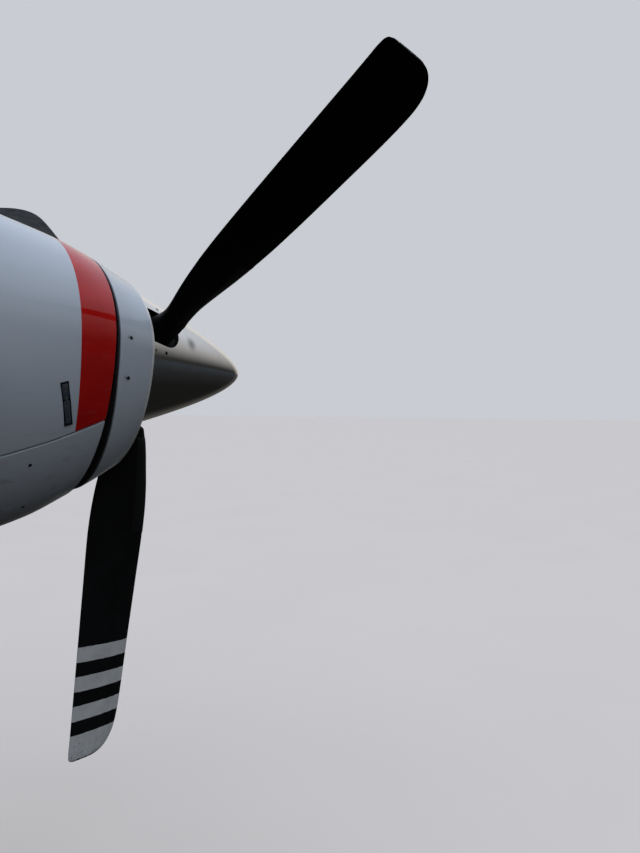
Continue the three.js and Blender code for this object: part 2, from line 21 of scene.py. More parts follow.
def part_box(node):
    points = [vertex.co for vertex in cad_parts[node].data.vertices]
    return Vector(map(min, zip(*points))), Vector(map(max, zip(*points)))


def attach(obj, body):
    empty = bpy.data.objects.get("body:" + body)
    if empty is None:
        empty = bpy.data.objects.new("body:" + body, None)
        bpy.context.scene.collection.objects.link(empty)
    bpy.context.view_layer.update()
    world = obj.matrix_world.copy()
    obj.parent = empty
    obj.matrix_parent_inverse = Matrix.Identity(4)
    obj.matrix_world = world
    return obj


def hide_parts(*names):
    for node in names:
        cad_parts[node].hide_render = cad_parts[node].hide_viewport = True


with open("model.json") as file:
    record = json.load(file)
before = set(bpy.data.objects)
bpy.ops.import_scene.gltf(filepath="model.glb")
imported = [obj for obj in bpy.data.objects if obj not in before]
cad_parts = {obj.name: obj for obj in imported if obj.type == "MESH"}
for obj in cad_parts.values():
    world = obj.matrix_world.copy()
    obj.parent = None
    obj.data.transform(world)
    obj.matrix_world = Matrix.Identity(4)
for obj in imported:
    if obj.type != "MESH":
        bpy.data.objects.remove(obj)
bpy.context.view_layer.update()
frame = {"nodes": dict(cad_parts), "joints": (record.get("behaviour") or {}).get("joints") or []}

LOG = logging.getLogger("nacelle")
MM = 0.001
# The photograph is 640 by 853 pixels
IMAGE_HEIGHT = 853
STARBOARD, PORT = -1, 1
SIDES = ((STARBOARD, "right"), (PORT, "left"))
JOINT_PLACES = {joint["name"]: joint["pos_m"] for joint in frame["joints"]}
HUB_X = JOINT_PLACES["propeller_spin"][0]
BLADE_BODIES = ("blade_upper_right", "blade_lower", "blade_upper_left")
FIRST_BLADE_TURN = 64.85

Array = np.ndarray
Table = tuple[tuple[float, ...], ...]
NormalRule = Callable[[Array], Array]
Socket = bpy.types.NodeSocket
Material = bpy.types.Material
Piece = bpy.types.Object


class FairLine:
    """A smooth line through a table's points that never runs past them."""

    def __init__(self, keys: Sequence[float], values: Sequence[float]) -> None:
        """Works out the slope at each point.

        Args:
            keys: rising keys.
            values: one value for each key.
        """
        self.keys = np.asarray(keys, float)
        self.values = np.asarray(values, float)
        step = np.diff(self.keys)
        slope = np.diff(self.values) / step
        self.slopes = np.concatenate(([slope[0]], np.zeros(len(step) - 1), [slope[-1]]))
        for i in range(1, len(step)):
            if slope[i - 1] * slope[i] > 0:
                before, after = 2 * step[i] + step[i - 1], step[i] + 2 * step[i - 1]
                self.slopes[i] = (before + after) / (before / slope[i - 1] + after / slope[i])

    def at(self, key: float | Array) -> Array:
        """Reads the line.

        Args:
            key: a key, or several.

        Returns:
            The line's value at each.
        """
        key = np.clip(key, self.keys[0], self.keys[-1])
        i = np.clip(np.searchsorted(self.keys, key, side="right") - 1, 0, len(self.keys) - 2)
        step = self.keys[i + 1] - self.keys[i]
        t = (key - self.keys[i]) / step
        start = self.values[i] * (1 + 2 * t) * (1 - t) ** 2 + self.slopes[i] * step * t * (1 - t) ** 2
        end = self.values[i + 1] * t**2 * (3 - 2 * t) + self.slopes[i + 1] * step * t**2 * (t - 1)
        return start + end


def place(station: float | Array, y: float | Array, z: float | Array) -> Array:
    """Points in metres from a station and offsets in millimetres."""
    station, y, z = np.broadcast_arrays(np.asarray(station, float), y, z)
    return np.stack([HUB_X - station * MM, y * MM, z * MM], axis=-1)


def unit(vectors: Array) -> Array:
    """The vectors at length one."""
    return vectors / np.maximum(np.linalg.norm(vectors, axis=-1, keepdims=True), 1e-12)


def steps(start: float, end: float, longest: float) -> Array:
    """Even steps from start to end, both included, none longer than longest."""
    return np.linspace(start, end, max(2, math.ceil(abs(end - start) / longest) + 1))


def joined_steps(stops: Sequence[float], longest: float) -> Array:
    """Steps that hit every stop in turn."""
    runs = [steps(a, b, longest)[:-1] for a, b in zip(stops, stops[1:])]
    return np.concatenate([*runs, [stops[-1]]])


# Finishes

def linear(sample: str) -> tuple[float, float, float, float]:
    """A linear colour from an sRGB hex value.

    Args:
        sample: the value, such as "c8102e".

    Returns:
        Red, green, blue and an alpha of one.
    """
    parts = [int(sample[i:i + 2], 16) / 255 for i in (0, 2, 4)]
    red, green, blue = (p / 12.92 if p <= 0.04045 else ((p + 0.055) / 1.055) ** 2.4 for p in parts)
    return red, green, blue, 1.0


# What most nodes of a kind are set to here, and the output wanted of a kind where it isn't the first
USUAL_SETTINGS = {"MapRange": {"interpolation_type": "SMOOTHSTEP"}, "Mix": {"data_type": "RGBA"},
                  "Math": {"operation": "MULTIPLY"}, "VectorMath": {"operation": "MULTIPLY"}}
USUAL_OUTPUT = {"Mix": 2}


def add_node(tree: bpy.types.NodeTree, kind: str, inputs: dict | list | None = None,
             output: int | str | None = None, **settings: object) -> Socket | None:
    """Adds a node with its settings and links.

    Args:
        tree: the node tree.
        kind: Blender's name of the node's type, less the "ShaderNode" before it.
        inputs: values or output sockets, in the inputs' order or by the input's name or place.
        output: the output that is wanted, by name or place; the kind's usual one when left out.
        settings: properties of the node, where they aren't the kind's usual ones.

    Returns:
        That output, or None where the node has no outputs.
    """
    made = tree.nodes.new(f"ShaderNode{kind}")
    for name, value in {**USUAL_SETTINGS.get(kind, {}), **settings}.items():
        setattr(made, name, value)
    pairs = inputs.items() if isinstance(inputs, dict) else enumerate(inputs or [])
    for key, value in pairs:
        if isinstance(value, Socket):
            tree.links.new(value, made.inputs[key])
        else:
            made.inputs[key].default_value = value
    wanted = USUAL_OUTPUT.get(kind, 0) if output is None else output
    return made.outputs[wanted] if made.outputs else None


@dataclass(frozen=True)
class Stain:
    """A dirty place: its middle in metres and its reach along X, Y and Z in millimetres."""

    middle: tuple[float, float, float]
    reach: tuple[float, float, float]
    strength: float = 0.5


class Painter:
    """One material's node tree, with the patterns that its finishes share.

    A Mix node's inputs are 0 the share, 6 the colour at share 0 and 7 the colour at share 1, and its
    output 2 is the mixed colour. A MapRange node's inputs are 0 the value, 1 and 2 the range that it
    comes from, and 3 and 4 the range that it goes to.
    """

    def __init__(self, name: str) -> None:
        """Starts an empty material.

        Args:
            name: its name.
        """
        self.material = bpy.data.materials.new(name)
        self.material.use_nodes = True
        self.material.node_tree.nodes.clear()
        self.add = partial(add_node, self.material.node_tree)
        self.coords = self.add("TexCoord", output="Object")

    def grain(self, size_mm: Sequence[float], detail: float = 3.0, rough: float = 0.5) -> Socket:
        """Noise whose features have a real size.

        Args:
            size_mm: the features' length along X, Y and Z, in millimetres.
            detail: how many finer layers lie over them.
            rough: how strong each finer layer is, from 0 to 1.

        Returns:
            The noise, between 0 and 1.
        """
        scale = [1 / (size * MM) for size in size_mm]
        stretched = self.add("VectorMath", [self.coords, scale])
        look = {"Vector": stretched, "Scale": 1.0, "Detail": detail, "Roughness": rough}
        return self.add("TexNoise", look, "Fac")

    def patches(self, size_mm: Sequence[float], low: float, high: float, start: float = 0.0,
                end: float = 1.0, detail: float = 3.0, rough: float = 0.5) -> Socket:
        """Noise parted into patches: start below its value low, end above its value high, soft between."""
        return self.add("MapRange", [self.grain(size_mm, detail, rough), low, high, start, end])

    def relief(self, size_mm: Sequence[float], depth_mm: float, detail: float) -> Socket:
        """The surface's normal, bumped by noise of a size and a depth in millimetres."""
        height = self.grain(size_mm, detail)
        return self.add("Bump", {"Strength": 1.0, "Distance": depth_mm * MM, "Height": height})

    def spot(self, middle: Sequence[float], reach_mm: Sequence[float]) -> Socket:
        """A soft spot, filling an ellipsoid.

        Args:
            middle: its middle, in metres.
            reach_mm: how far it reaches along X, Y and Z, in millimetres.

        Returns:
            One at the middle, falling to nothing at the ellipsoid's edge.
        """
        scale = [1 / (reach * MM) for reach in reach_mm]
        off = self.add("VectorMath", [self.coords, list(middle)], operation="SUBTRACT")
        scaled = self.add("VectorMath", [off, scale])
        length = self.add("VectorMath", [scaled], "Value", operation="LENGTH")
        return self.add("MapRange", {0: length, 3: 1.0, 4: 0.0})

    def stained(self, base: Socket, stain: Stain, colour: str,
                whole: float | Socket = 1.0) -> Socket:
        """A colour with one stain over it.

        Args:
            base: the colour below.
            stain: where the stain lies and how strong it is.
            colour: the stain's sRGB hex value.
            whole: how unbroken it is, from 0 to 1.

        Returns:
            The stained colour.
        """
        shape = self.add("Math", [self.spot(stain.middle, stain.reach), whole])
        mask = self.add("Math", [shape, stain.strength])
        return self.add("Mix", {0: mask, 6: base, 7: linear(colour)})

    def finish(self, **sockets: object) -> Material:
        """Adds the surface shader.

        Args:
            sockets: its values or links, each by the input's name with "_" for a space.

        Returns:
            The finished material.
        """
        inputs = {name.replace("_", " "): value for name, value in sockets.items()}
        shader = self.add("BsdfPrincipled", inputs)
        self.add("OutputMaterial", {"Surface": shader})
        return self.material


@dataclass(frozen=True)
class GlossEnamel:
    """Sprayed two-pack aircraft enamel over sheet metal: a hard gloss coat, a little wavy with the sheet
    below it, with thin grey streaks drawn aft by the airflow that grow denser towards the belly, so the
    paint is darker towards the bottom. The red warning band is masked and newer, so it shines more, and a
    lip can be painted near-white and part metallic as a painted highlight along its rim."""

    name: str = "gloss_white_enamel"
    colour: str = "d6dee6"
    shade: str = "cbd5de"
    dirt: str = "868680"
    band_colour: str = "d81d19"
    band_shade: str = "ca1815"
    stain_colour: str = "33302c"
    # The lip's near-white is a painted highlight, standing in for the light along its rim
    lip_highlight_colour: str = "faf8f4"
    roughness: tuple[float, float] = (0.10, 0.19)
    # Half the width of a masked edge or of the lip's painted highlight, in millimetres
    half_edge: float = 0.6
    # The band's rear edge: its station, and how it leans and bows with the height and its square, in metres
    band_rear: float | None = None
    band_lean: float = 0.0462
    band_bow: float = -0.154
    # The band's roughness against the white's
    band_gloss: float = 0.5
    # Station of the edge of the lip's painted highlight, how metallic the lip is and how much rougher than
    # the paint
    highlight_lip: float | None = None
    lip_metallic: float = 0.35
    lip_roughness: float = 0.36
    # How strongly the dry film on the paint lights up where it is seen edge on
    film_glow: float = 0.25
    stains: tuple[Stain, ...] = ()

    def in_band(self, p: Painter, ahead: Socket, height: Socket) -> Socket:
        """The red band's mask.

        Args:
            p: the painter of this material.
            ahead: the place along X.
            height: the place along Z.

        Returns:
            One in the band and nothing outside it.
        """
        rear, edge = HUB_X - self.band_rear * MM, self.half_edge * MM
        squared = p.add("Math", [height, height])
        bowed = p.add("Math", [squared, self.band_bow, ahead], operation="MULTIPLY_ADD")
        leaning = p.add("Math", [height, self.band_lean, bowed], operation="MULTIPLY_ADD")
        ahead_of_edge = p.add("MapRange", [leaning, rear - edge, rear + edge])
        # The band is outside only: there the surface faces away from the thrust line
        facing = p.add("TexCoord", output="Normal")
        off_line = p.add("VectorMath", [p.coords, (0.0, 1.0, 1.0)])
        outward = p.add("VectorMath", [facing, off_line], "Value", operation="DOT_PRODUCT")
        outside = p.add("Math", [outward, 0.0], operation="GREATER_THAN")
        return p.add("Math", [ahead_of_edge, outside])

    def build(self) -> Material:
        """Makes the material.

        Returns:
            The material.
        """
        p = Painter(self.name)
        ahead = p.add("SeparateXYZ", [p.coords], "X")
        height = p.add("SeparateXYZ", [p.coords], "Z")
        rough = p.patches((60, 60, 60), 0.3, 0.75, *self.roughness, detail=5.0)
        metallic = 0.0
        clouds = p.patches((420, 300, 300), 0.3, 0.7, 0.0, 0.5)
        base = p.add("Mix", {0: clouds, 6: linear(self.colour), 7: linear(self.shade)})
        if self.band_rear:
            band = self.in_band(p, ahead, height)
            clouds = p.patches((160, 60, 60), 0.35, 0.75)
            red = p.add("Mix", {0: clouds, 6: linear(self.band_colour), 7: linear(self.band_shade)})
            base = p.add("Mix", {0: band, 6: base, 7: red})
            gloss = p.add("MapRange", {0: band, 3: 1.0, 4: self.band_gloss})
            rough = p.add("Math", [rough, gloss])
        # Streaks run aft, and they grow denser from a little below the thrust line down to the belly, so the
        # paint is darker towards the bottom
        streaks = p.patches((900, 16, 16), 0.52, 0.78, detail=4.0, rough=0.6)
        film = p.add("MapRange", [height, -0.1, -0.55, 0.06, 0.5])
        streaked = p.add("Math", [streaks, film])
        base = p.add("Mix", {0: streaked, 6: base, 7: linear(self.dirt)})
        for stain in self.stains:
            whole = p.patches((26, 5, 5), 0.35, 0.65, 0.25, 1.0, 4.0, 0.65)
            base = p.stained(base, stain, self.stain_colour, whole)
        # Ahead of this station the lip is painted near-white, part metallic and rougher: a painted highlight
        # along the rim
        if self.highlight_lip:
            lip, edge = HUB_X - self.highlight_lip * MM, self.half_edge * MM
            edge_mask = p.add("MapRange", [ahead, lip - edge, lip + edge])
            metallic = p.add("Math", [edge_mask, self.lip_metallic])
            base = p.add("Mix", {0: edge_mask, 6: base, 7: linear(self.lip_highlight_colour)})
            rough = p.add("Math", [edge_mask, self.lip_roughness, rough], operation="MULTIPLY_ADD")
        # The sheet's waves are a hand's breadth long and a third of a millimetre deep
        wave = p.relief((170, 150, 150), 0.35, 1.0)
        return p.finish(Base_Color=base, Metallic=metallic, Roughness=rough, Normal=wave, IOR=1.5,
                        Specular_IOR_Level=0.33, Sheen_Weight=self.film_glow, Sheen_Roughness=0.2)


@dataclass(frozen=True)
class WeatheredRubber:
    """Moulded black neoprene, dull and slightly dusty, with a fine pebble from its mould."""

    name: str = "weathered_black_neoprene"
    colour: str = "0e0f10"
    dust: str = "2e3133"
    dustiness: float = 0.5

    def build(self) -> Material:
        """Makes the material.

        Returns:
            The material.
        """
        p = Painter(self.name)
        dusty = p.patches((35, 20, 20), 0.45, 0.8, 0.0, self.dustiness, 5.0, 0.6)
        base = p.add("Mix", {0: dusty, 6: linear(self.colour), 7: linear(self.dust)})
        # The mould's pebble is under half a millimetre, so it is drawn three times coarser to show
        pebble = p.relief((1.5, 1.5, 1.5), 0.08, 2.0)
        return p.finish(Base_Color=base, Roughness=0.52, Normal=pebble, IOR=1.52, Specular_IOR_Level=0.4)


@dataclass(frozen=True)
class PolishedAluminium:
    """Spun and hand-polished aluminium sheet: a soft mirror with fine rings from the lathe, water marks
    and a little haze, so that the dark horizon shows in it as a soft line."""

    name: str = "polished_spun_aluminium"
    colour: str = "e4e2de"
    mark_colour: str = "cfceca"
    stain_colour: str = "5a5a5a"
    stains: tuple[Stain, ...] = ()

    def build(self) -> Material:
        """Makes the material.

        Returns:
            The material.
        """
        p = Painter(self.name)
        marks = p.patches((70, 70, 70), 0.42, 0.72, detail=6.0, rough=0.65)
        faint = p.add("Math", [marks, 0.5])
        base = p.add("Mix", {0: faint, 6: linear(self.colour), 7: linear(self.mark_colour)})
        for stain in self.stains:
            base = p.stained(base, stain, self.stain_colour)
        # Lathe rings are a tenth of a millimetre apart, so they are drawn at 2 mm to show
        rings = (2.0, 400, 400)
        dried = p.add("MapRange", {0: marks, 3: 0.06, 4: 0.13})
        haze = p.add("Math", [dried, p.patches(rings, 0.3, 0.7, 0.0, 0.03, 2.0)], operation="ADD")
        return p.finish(Base_Color=base, Metallic=1.0, Roughness=haze, Normal=p.relief(rings, 0.004, 2.0))


@dataclass(frozen=True)
class StripedBladePaint:
    """Matt black polyurethane over the blade, rain-pitted along its leading edge. The cambered side has
    white bands near the tip, chipped and worn back to grey at the very end. Spans are millimetres."""

    name: str = "matt_black_blade_polyurethane"
    colours: tuple[str, str] = ("0a0b0b", "121313")
    white_colours: tuple[str, str] = ("dcdedd", "b4b5b2")
    pitted_colour: str = "4c4d4e"
    # The bands: start of the first, from one to the next, width, and start of the tip's own
    first: float = 894.0
    pitch: float = 91.3
    width: float = 47.0
    tip_start: float = 1168.0
    # Chips begin and are thickest here, and beyond the last one the white is gone
    chipped: tuple[float, float] = (1070.0, 1250.0)
    bare_tip: float = 1246.5

    def whiteness(self, p: Painter, span: Socket) -> Socket:
        """The white bands' mask.

        Args:
            p: the painter of this material.
            span: distance from the hub's centre, in millimetres.

        Returns:
            One where white paint is left.
        """
        # The masking tape's edge wanders by less than a millimetre
        along = p.add("Math", [span, p.patches((9, 9, 9), 0.3, 0.7, -0.7, 0.7)], operation="ADD")
        from_first = p.add("Math", [along, self.first], operation="SUBTRACT")
        turns = p.add("Math", [from_first, self.pitch], operation="DIVIDE")
        phase = p.add("Math", [turns], operation="FRACT")
        in_band = p.add("Math", [phase, self.width / self.pitch], operation="LESS_THAN")
        started = p.add("Math", [along, self.first], operation="GREATER_THAN")
        banded = p.add("Math", [in_band, started])
        at_tip = p.add("Math", [along, self.tip_start], operation="GREATER_THAN")
        painted = p.add("Math", [banded, at_tip], operation="MAXIMUM")
        camber = p.add("Attribute", output="Fac", attribute_name="camber")
        cambered = p.add("Math", [camber, 0.5], operation="GREATER_THAN")
        on_side = p.add("Math", [painted, cambered])
        wear = p.add("MapRange", [span, self.chipped[0], self.chipped[1]])
        needed = p.add("MapRange", {0: wear, 3: 0.76, 4: 0.61})
        chips = p.add("Math", [p.grain((4, 4, 4), 5.0, 0.7), needed], operation="GREATER_THAN")
        ragged = p.patches((6, 6, 6), 0.3, 0.7, -5.0, 5.0, 4.0)
        end = p.add("Math", [span, ragged], operation="ADD")
        bare = p.add("Math", [end, self.bare_tip], operation="GREATER_THAN")
        gone = p.add("Math", [chips, bare], operation="MAXIMUM")
        left = p.add("Math", [1.0, gone], operation="SUBTRACT")
        return p.add("Math", [on_side, left])

    def build(self) -> Material:
        """Makes the material.

        Returns:
            The material.
        """
        p = Painter(self.name)
        span = p.add("Attribute", output="Fac", attribute_name="span_mm")
        chord = p.add("Attribute", output="Fac", attribute_name="chord")
        clouds = p.patches((120, 120, 120), 0.4, 0.7, detail=4.0)
        black = p.add("Mix", {0: clouds, 6: linear(self.colours[0]), 7: linear(self.colours[1])})
        leading = p.add("MapRange", [chord, 0.93, 1.0])
        pits = p.patches((5, 5, 5), 0.5, 0.62, detail=5.0, rough=0.7)
        pitted = p.add("Math", [leading, pits])
        outboard = p.add("MapRange", [span, 700.0, 1200.0, 0.0, 0.5])
        edge_mask = p.add("Math", [pitted, outboard])
        black = p.add("Mix", {0: edge_mask, 6: black, 7: linear(self.pitted_colour)})
        film = p.patches((40, 40, 40), 0.35, 0.75, 0.0, 0.45, 5.0, 0.6)
        white = p.add("Mix", {0: film, 6: linear(self.white_colours[0]), 7: linear(self.white_colours[1])})
        base = p.add("Mix", {0: self.whiteness(p, span), 6: black, 7: white})
        rough = p.patches((30, 30, 30), 0.3, 0.7, 0.55, 0.68, 4.0)
        return p.finish(Base_Color=base, Roughness=rough, Specular_IOR_Level=0.18, IOR=1.5,
                        Normal=p.relief((2.5, 2.5, 2.5), 0.03, 2.0))


@dataclass(frozen=True)
class Metalwork:
    """Bare, primed or enamelled metal: cloudy, a little scratched, with dark grime in patches."""

    name: str
    colour: str
    second: str
    roughness: float
    metallic: float = 1.0
    patch_mm: float = 45.0
    grime: float = 0.3
    bump_mm: float = 0.05
    specular: float = 0.5
    grime_colour: str = "1d1b18"
    # How much rougher the second tone is than the first
    rougher: float = 0.14

    def build(self) -> Material:
        """Makes the material.

        Returns:
            The material.
        """
        p = Painter(self.name)
        clouds = p.patches((self.patch_mm,) * 3, 0.35, 0.7, detail=5.0, rough=0.6)
        base = p.add("Mix", {0: clouds, 6: linear(self.colour), 7: linear(self.second)})
        dirt = p.patches((self.patch_mm * 2.2,) * 3, 0.5, 0.75, 0.0, self.grime, 6.0, 0.65)
        base = p.add("Mix", {0: dirt, 6: base, 7: linear(self.grime_colour)})
        rough = p.add("MapRange", {0: clouds, 3: self.roughness, 4: min(1.0, self.roughness + self.rougher)})
        # Scratches and casting grain are drawn at 1.8 mm, coarser than the real ones, to show
        fine = p.relief((1.8, 1.8, 1.8), self.bump_mm, 3.0)
        return p.finish(Base_Color=base, Metallic=self.metallic, Roughness=rough, Normal=fine,
                        Specular_IOR_Level=self.specular)


@dataclass(frozen=True)
class HeatTintedSteel:
    """Stainless exhaust steel, blued and browned by heat towards the outlet and sooty at its mouth."""

    name: str = "heat_tinted_stainless"
    browned: str = "6d5547"
    plain: str = "8d8478"
    blued: str = "4d5468"
    soot: str = "171412"
    # Where along X the stack's mouth and its root lie, in metres
    mouth_x: float = 1.11
    root_x: float = 1.33

    def build(self) -> Material:
        """Makes the material.

        Returns:
            The material.
        """
        p = Painter(self.name)
        ahead = p.add("SeparateXYZ", [p.coords], "X")
        drift = p.patches((50, 50, 50), 0.2, 0.8, -0.04, 0.04, 4.0)
        wander = p.add("Math", [ahead, drift], operation="ADD")
        cooler = p.add("MapRange", [wander, self.mouth_x, self.root_x])
        tint = p.add("Mix", {0: cooler, 6: linear(self.browned), 7: linear(self.plain)})
        tint = p.stained(tint, Stain((self.root_x - 0.12, 0, -0.095), (60, 900, 200), 0.35), self.blued)
        sooty = p.add("MapRange", [wander, self.mouth_x + 0.015, self.mouth_x + 0.05, 0.9, 0.0])
        base = p.add("Mix", {0: sooty, 6: tint, 7: linear(self.soot)})
        rough = p.add("MapRange", [sooty, 0.0, 0.9, 0.34, 0.75])
        return p.finish(Base_Color=base, Metallic=0.9, Roughness=rough, Normal=p.relief((3, 3, 3), 0.04, 3.0))


class Finish(Enum):
    """The finishes that pieces ask for by name, each with its material slot in the record."""

    WHITE = "white_paint"
    RUBBER = "seal_rubber"
    PRIMER = "primed_frame"
    COOLER = "cooler_alloy"
    CASE = "engine_case"
    EXHAUST = "heated_steel"
    STEEL = "mount_steel"
    LATCH = "latch_steel"
    SPINNER = "spinner_alloy"
    BLADE = "blade_black"


# Shapes

def wall_faces(rows: int, columns: int, closed: bool) -> list[list[int]]:
    """Faces between loops of points, each loop closed round.

    Args:
        rows: how many loops there are.
        columns: how many points each has.
        closed: whether the last loop joins the first.

    Returns:
        The faces.
    """
    faces = []
    for r in range(rows if closed else rows - 1):
        for c in range(columns):
            a, b = r * columns + c, r * columns + (c + 1) % columns
            up = ((r + 1) % rows) * columns - r * columns
            faces.append([a, b, b + up, a + up])
    return faces


class Shape:
    """Vertices and faces that grow by closed parts, then become one piece."""

    def __init__(self) -> None:
        """Starts with nothing."""
        self.points: list[Array] = []
        self.faces: list[tuple[int, ...]] = []
        self.values: dict[str, list[Array]] = {}
        self.count = 0

    def add(self, points: Array, faces: Iterable[Sequence[int]]) -> "Shape":
        """Adds one closed part.

        Args:
            points: its vertices, in metres.
            faces: its faces, counted from its own first vertex.

        Returns:
            This shape.
        """
        points = np.asarray(points, float).reshape(-1, 3)
        self.faces.extend(tuple(int(i) + self.count for i in face) for face in faces)
        self.points.append(points)
        self.count += len(points)
        return self

    def sheet(self, outer: Array, inner: Array, cells: Array | None = None) -> "Shape":
        """Adds a sheet with thickness, from two equal grids of points.

        Args:
            outer: grid of points, rows by columns by 3.
            inner: the same grid on the other side.
            cells: which cells between the points exist; all when left out.

        Returns:
            This shape.
        """
        rows, columns = outer.shape[:2]
        cells = np.ones((rows - 1, columns - 1), bool) if cells is None else cells
        total = rows * columns
        present = {(r, c) for r in range(rows - 1) for c in range(columns - 1) if cells[r, c]}
        faces = []
        for r, c in present:
            start, after = r * columns + c, (r + 1) * columns + c
            corners = [start, start + 1, after + 1, after]
            faces.append(corners)
            faces.append([corner + total for corner in reversed(corners)])
            sides = ((r - 1, c, 0, 1), (r, c + 1, 1, 2), (r + 1, c, 2, 3), (r, c - 1, 3, 0))
            for row, column, i, j in sides:
                if (row, column) not in present:
                    a, b = corners[i], corners[j]
                    faces.append([b, a, a + total, b + total])
        used = np.zeros(2 * total, bool)
        used[np.unique(np.concatenate([np.asarray(face) for face in faces]))] = True
        renumber = np.cumsum(used) - 1
        points = np.concatenate([outer.reshape(-1, 3), inner.reshape(-1, 3)])[used]
        return self.add(points, [[renumber[i] for i in face] for face in faces])

    def ring(self, loops: Array | Sequence[Array], closed: bool = True) -> "Shape":
        """Adds a body of loops, rows by points by 3, closed round each loop.

        Args:
            loops: the loops in order.
            closed: True joins the last loop to the first, False caps both ends.

        Returns:
            This shape.
        """
        loops = np.asarray(loops)
        rows, columns = loops.shape[:2]
        faces = wall_faces(rows, columns, closed)
        if not closed:
            faces.append(list(range(columns))[::-1])
            faces.append([(rows - 1) * columns + c for c in range(columns)])
        return self.add(loops, faces)

    def turned(self, profile: Sequence[Sequence[float]], sides: int = 96, centre: Sequence[float] = (0, 0),
               start: Vector | None = None, along: Vector | None = None) -> "Shape":
        """Adds a round body.

        Args:
            profile: [distance along, radius] in millimetres, a closed outline or one that ends on the axis.
            sides: how many faces go round.
            centre: the axis's y and z in millimetres when it lies along the thrust line.
            start: the axis's start in metres, where it isn't the thrust line.
            along: the axis's direction, where it isn't the thrust line.

        Returns:
            This shape.
        """
        along = Vector((-1, 0, 0)) if along is None else along.normalized()
        start = Vector((HUB_X, centre[0] * MM, centre[1] * MM)) if start is None else start
        fore_and_aft = abs(along.x) > 0.99
        across = Vector((0, 0, 1)) if fore_and_aft else along.orthogonal().normalized()
        third = along.cross(across)
        turns = np.linspace(0, 2 * math.pi, sides, endpoint=False)
        round_ = np.cos(turns)[:, None] * np.array(across) + np.sin(turns)[:, None] * np.array(third)
        on_axis = [profile[0][1] == 0, profile[-1][1] == 0]
        inner = profile[1 if on_axis[0] else 0:-1 if on_axis[1] else None]
        loops = [np.array(start) + np.array(along) * d * MM + round_ * r * MM for d, r in inner]
        points = np.concatenate(loops)
        rows = len(inner)
        faces = wall_faces(rows, sides, not any(on_axis))
        for closes, row, end in zip(on_axis, (0, rows - 1), (profile[0], profile[-1])):
            if closes:
                points = np.concatenate([points, [np.array(start) + np.array(along) * end[0] * MM]])
                tip = len(points) - 1
                loop = [row * sides + c for c in range(sides)]
                faces.extend([loop[c], loop[(c + 1) % sides], tip] for c in range(sides))
        return self.add(points, faces)

    def block(self, centre: Array, half: Sequence[float], axes: Sequence[Array] | None = None) -> "Shape":
        """Adds a box.

        Args:
            centre: its middle, in metres.
            half: half its size along each of its axes, in millimetres.
            axes: its three axes; those of the frame when left out.

        Returns:
            This shape.
        """
        axes = np.eye(3) if axes is None else np.array([np.array(a) for a in axes])
        signs = np.array([[x, y, z] for x in (-1, 1) for y in (-1, 1) for z in (-1, 1)], float)
        points = np.asarray(centre) + (signs * np.asarray(half) * MM) @ axes
        faces = [(0, 1, 3, 2), (4, 6, 7, 5), (0, 4, 5, 1), (2, 3, 7, 6), (0, 2, 6, 4), (1, 5, 7, 3)]
        return self.add(points, faces)

    def mesh(self, name: str) -> bpy.types.Mesh:
        """Makes the shape a mesh whose faces point outward.

        Args:
            name: the mesh's name.

        Returns:
            The mesh, with the shape's named values as attributes of its vertices.
        """
        mesh = bpy.data.meshes.new(name)
        mesh.from_pydata(np.concatenate(self.points).tolist(), [], self.faces)
        for value_name, numbers in self.values.items():
            layer = mesh.attributes.new(value_name, "FLOAT", "POINT")
            layer.data.foreach_set("value", np.concatenate(numbers).astype(np.float32))
        work = bmesh.new()
        work.from_mesh(mesh)
        bmesh.ops.recalc_face_normals(work, faces=work.faces)
        work.to_mesh(mesh)
        work.free()
        return mesh


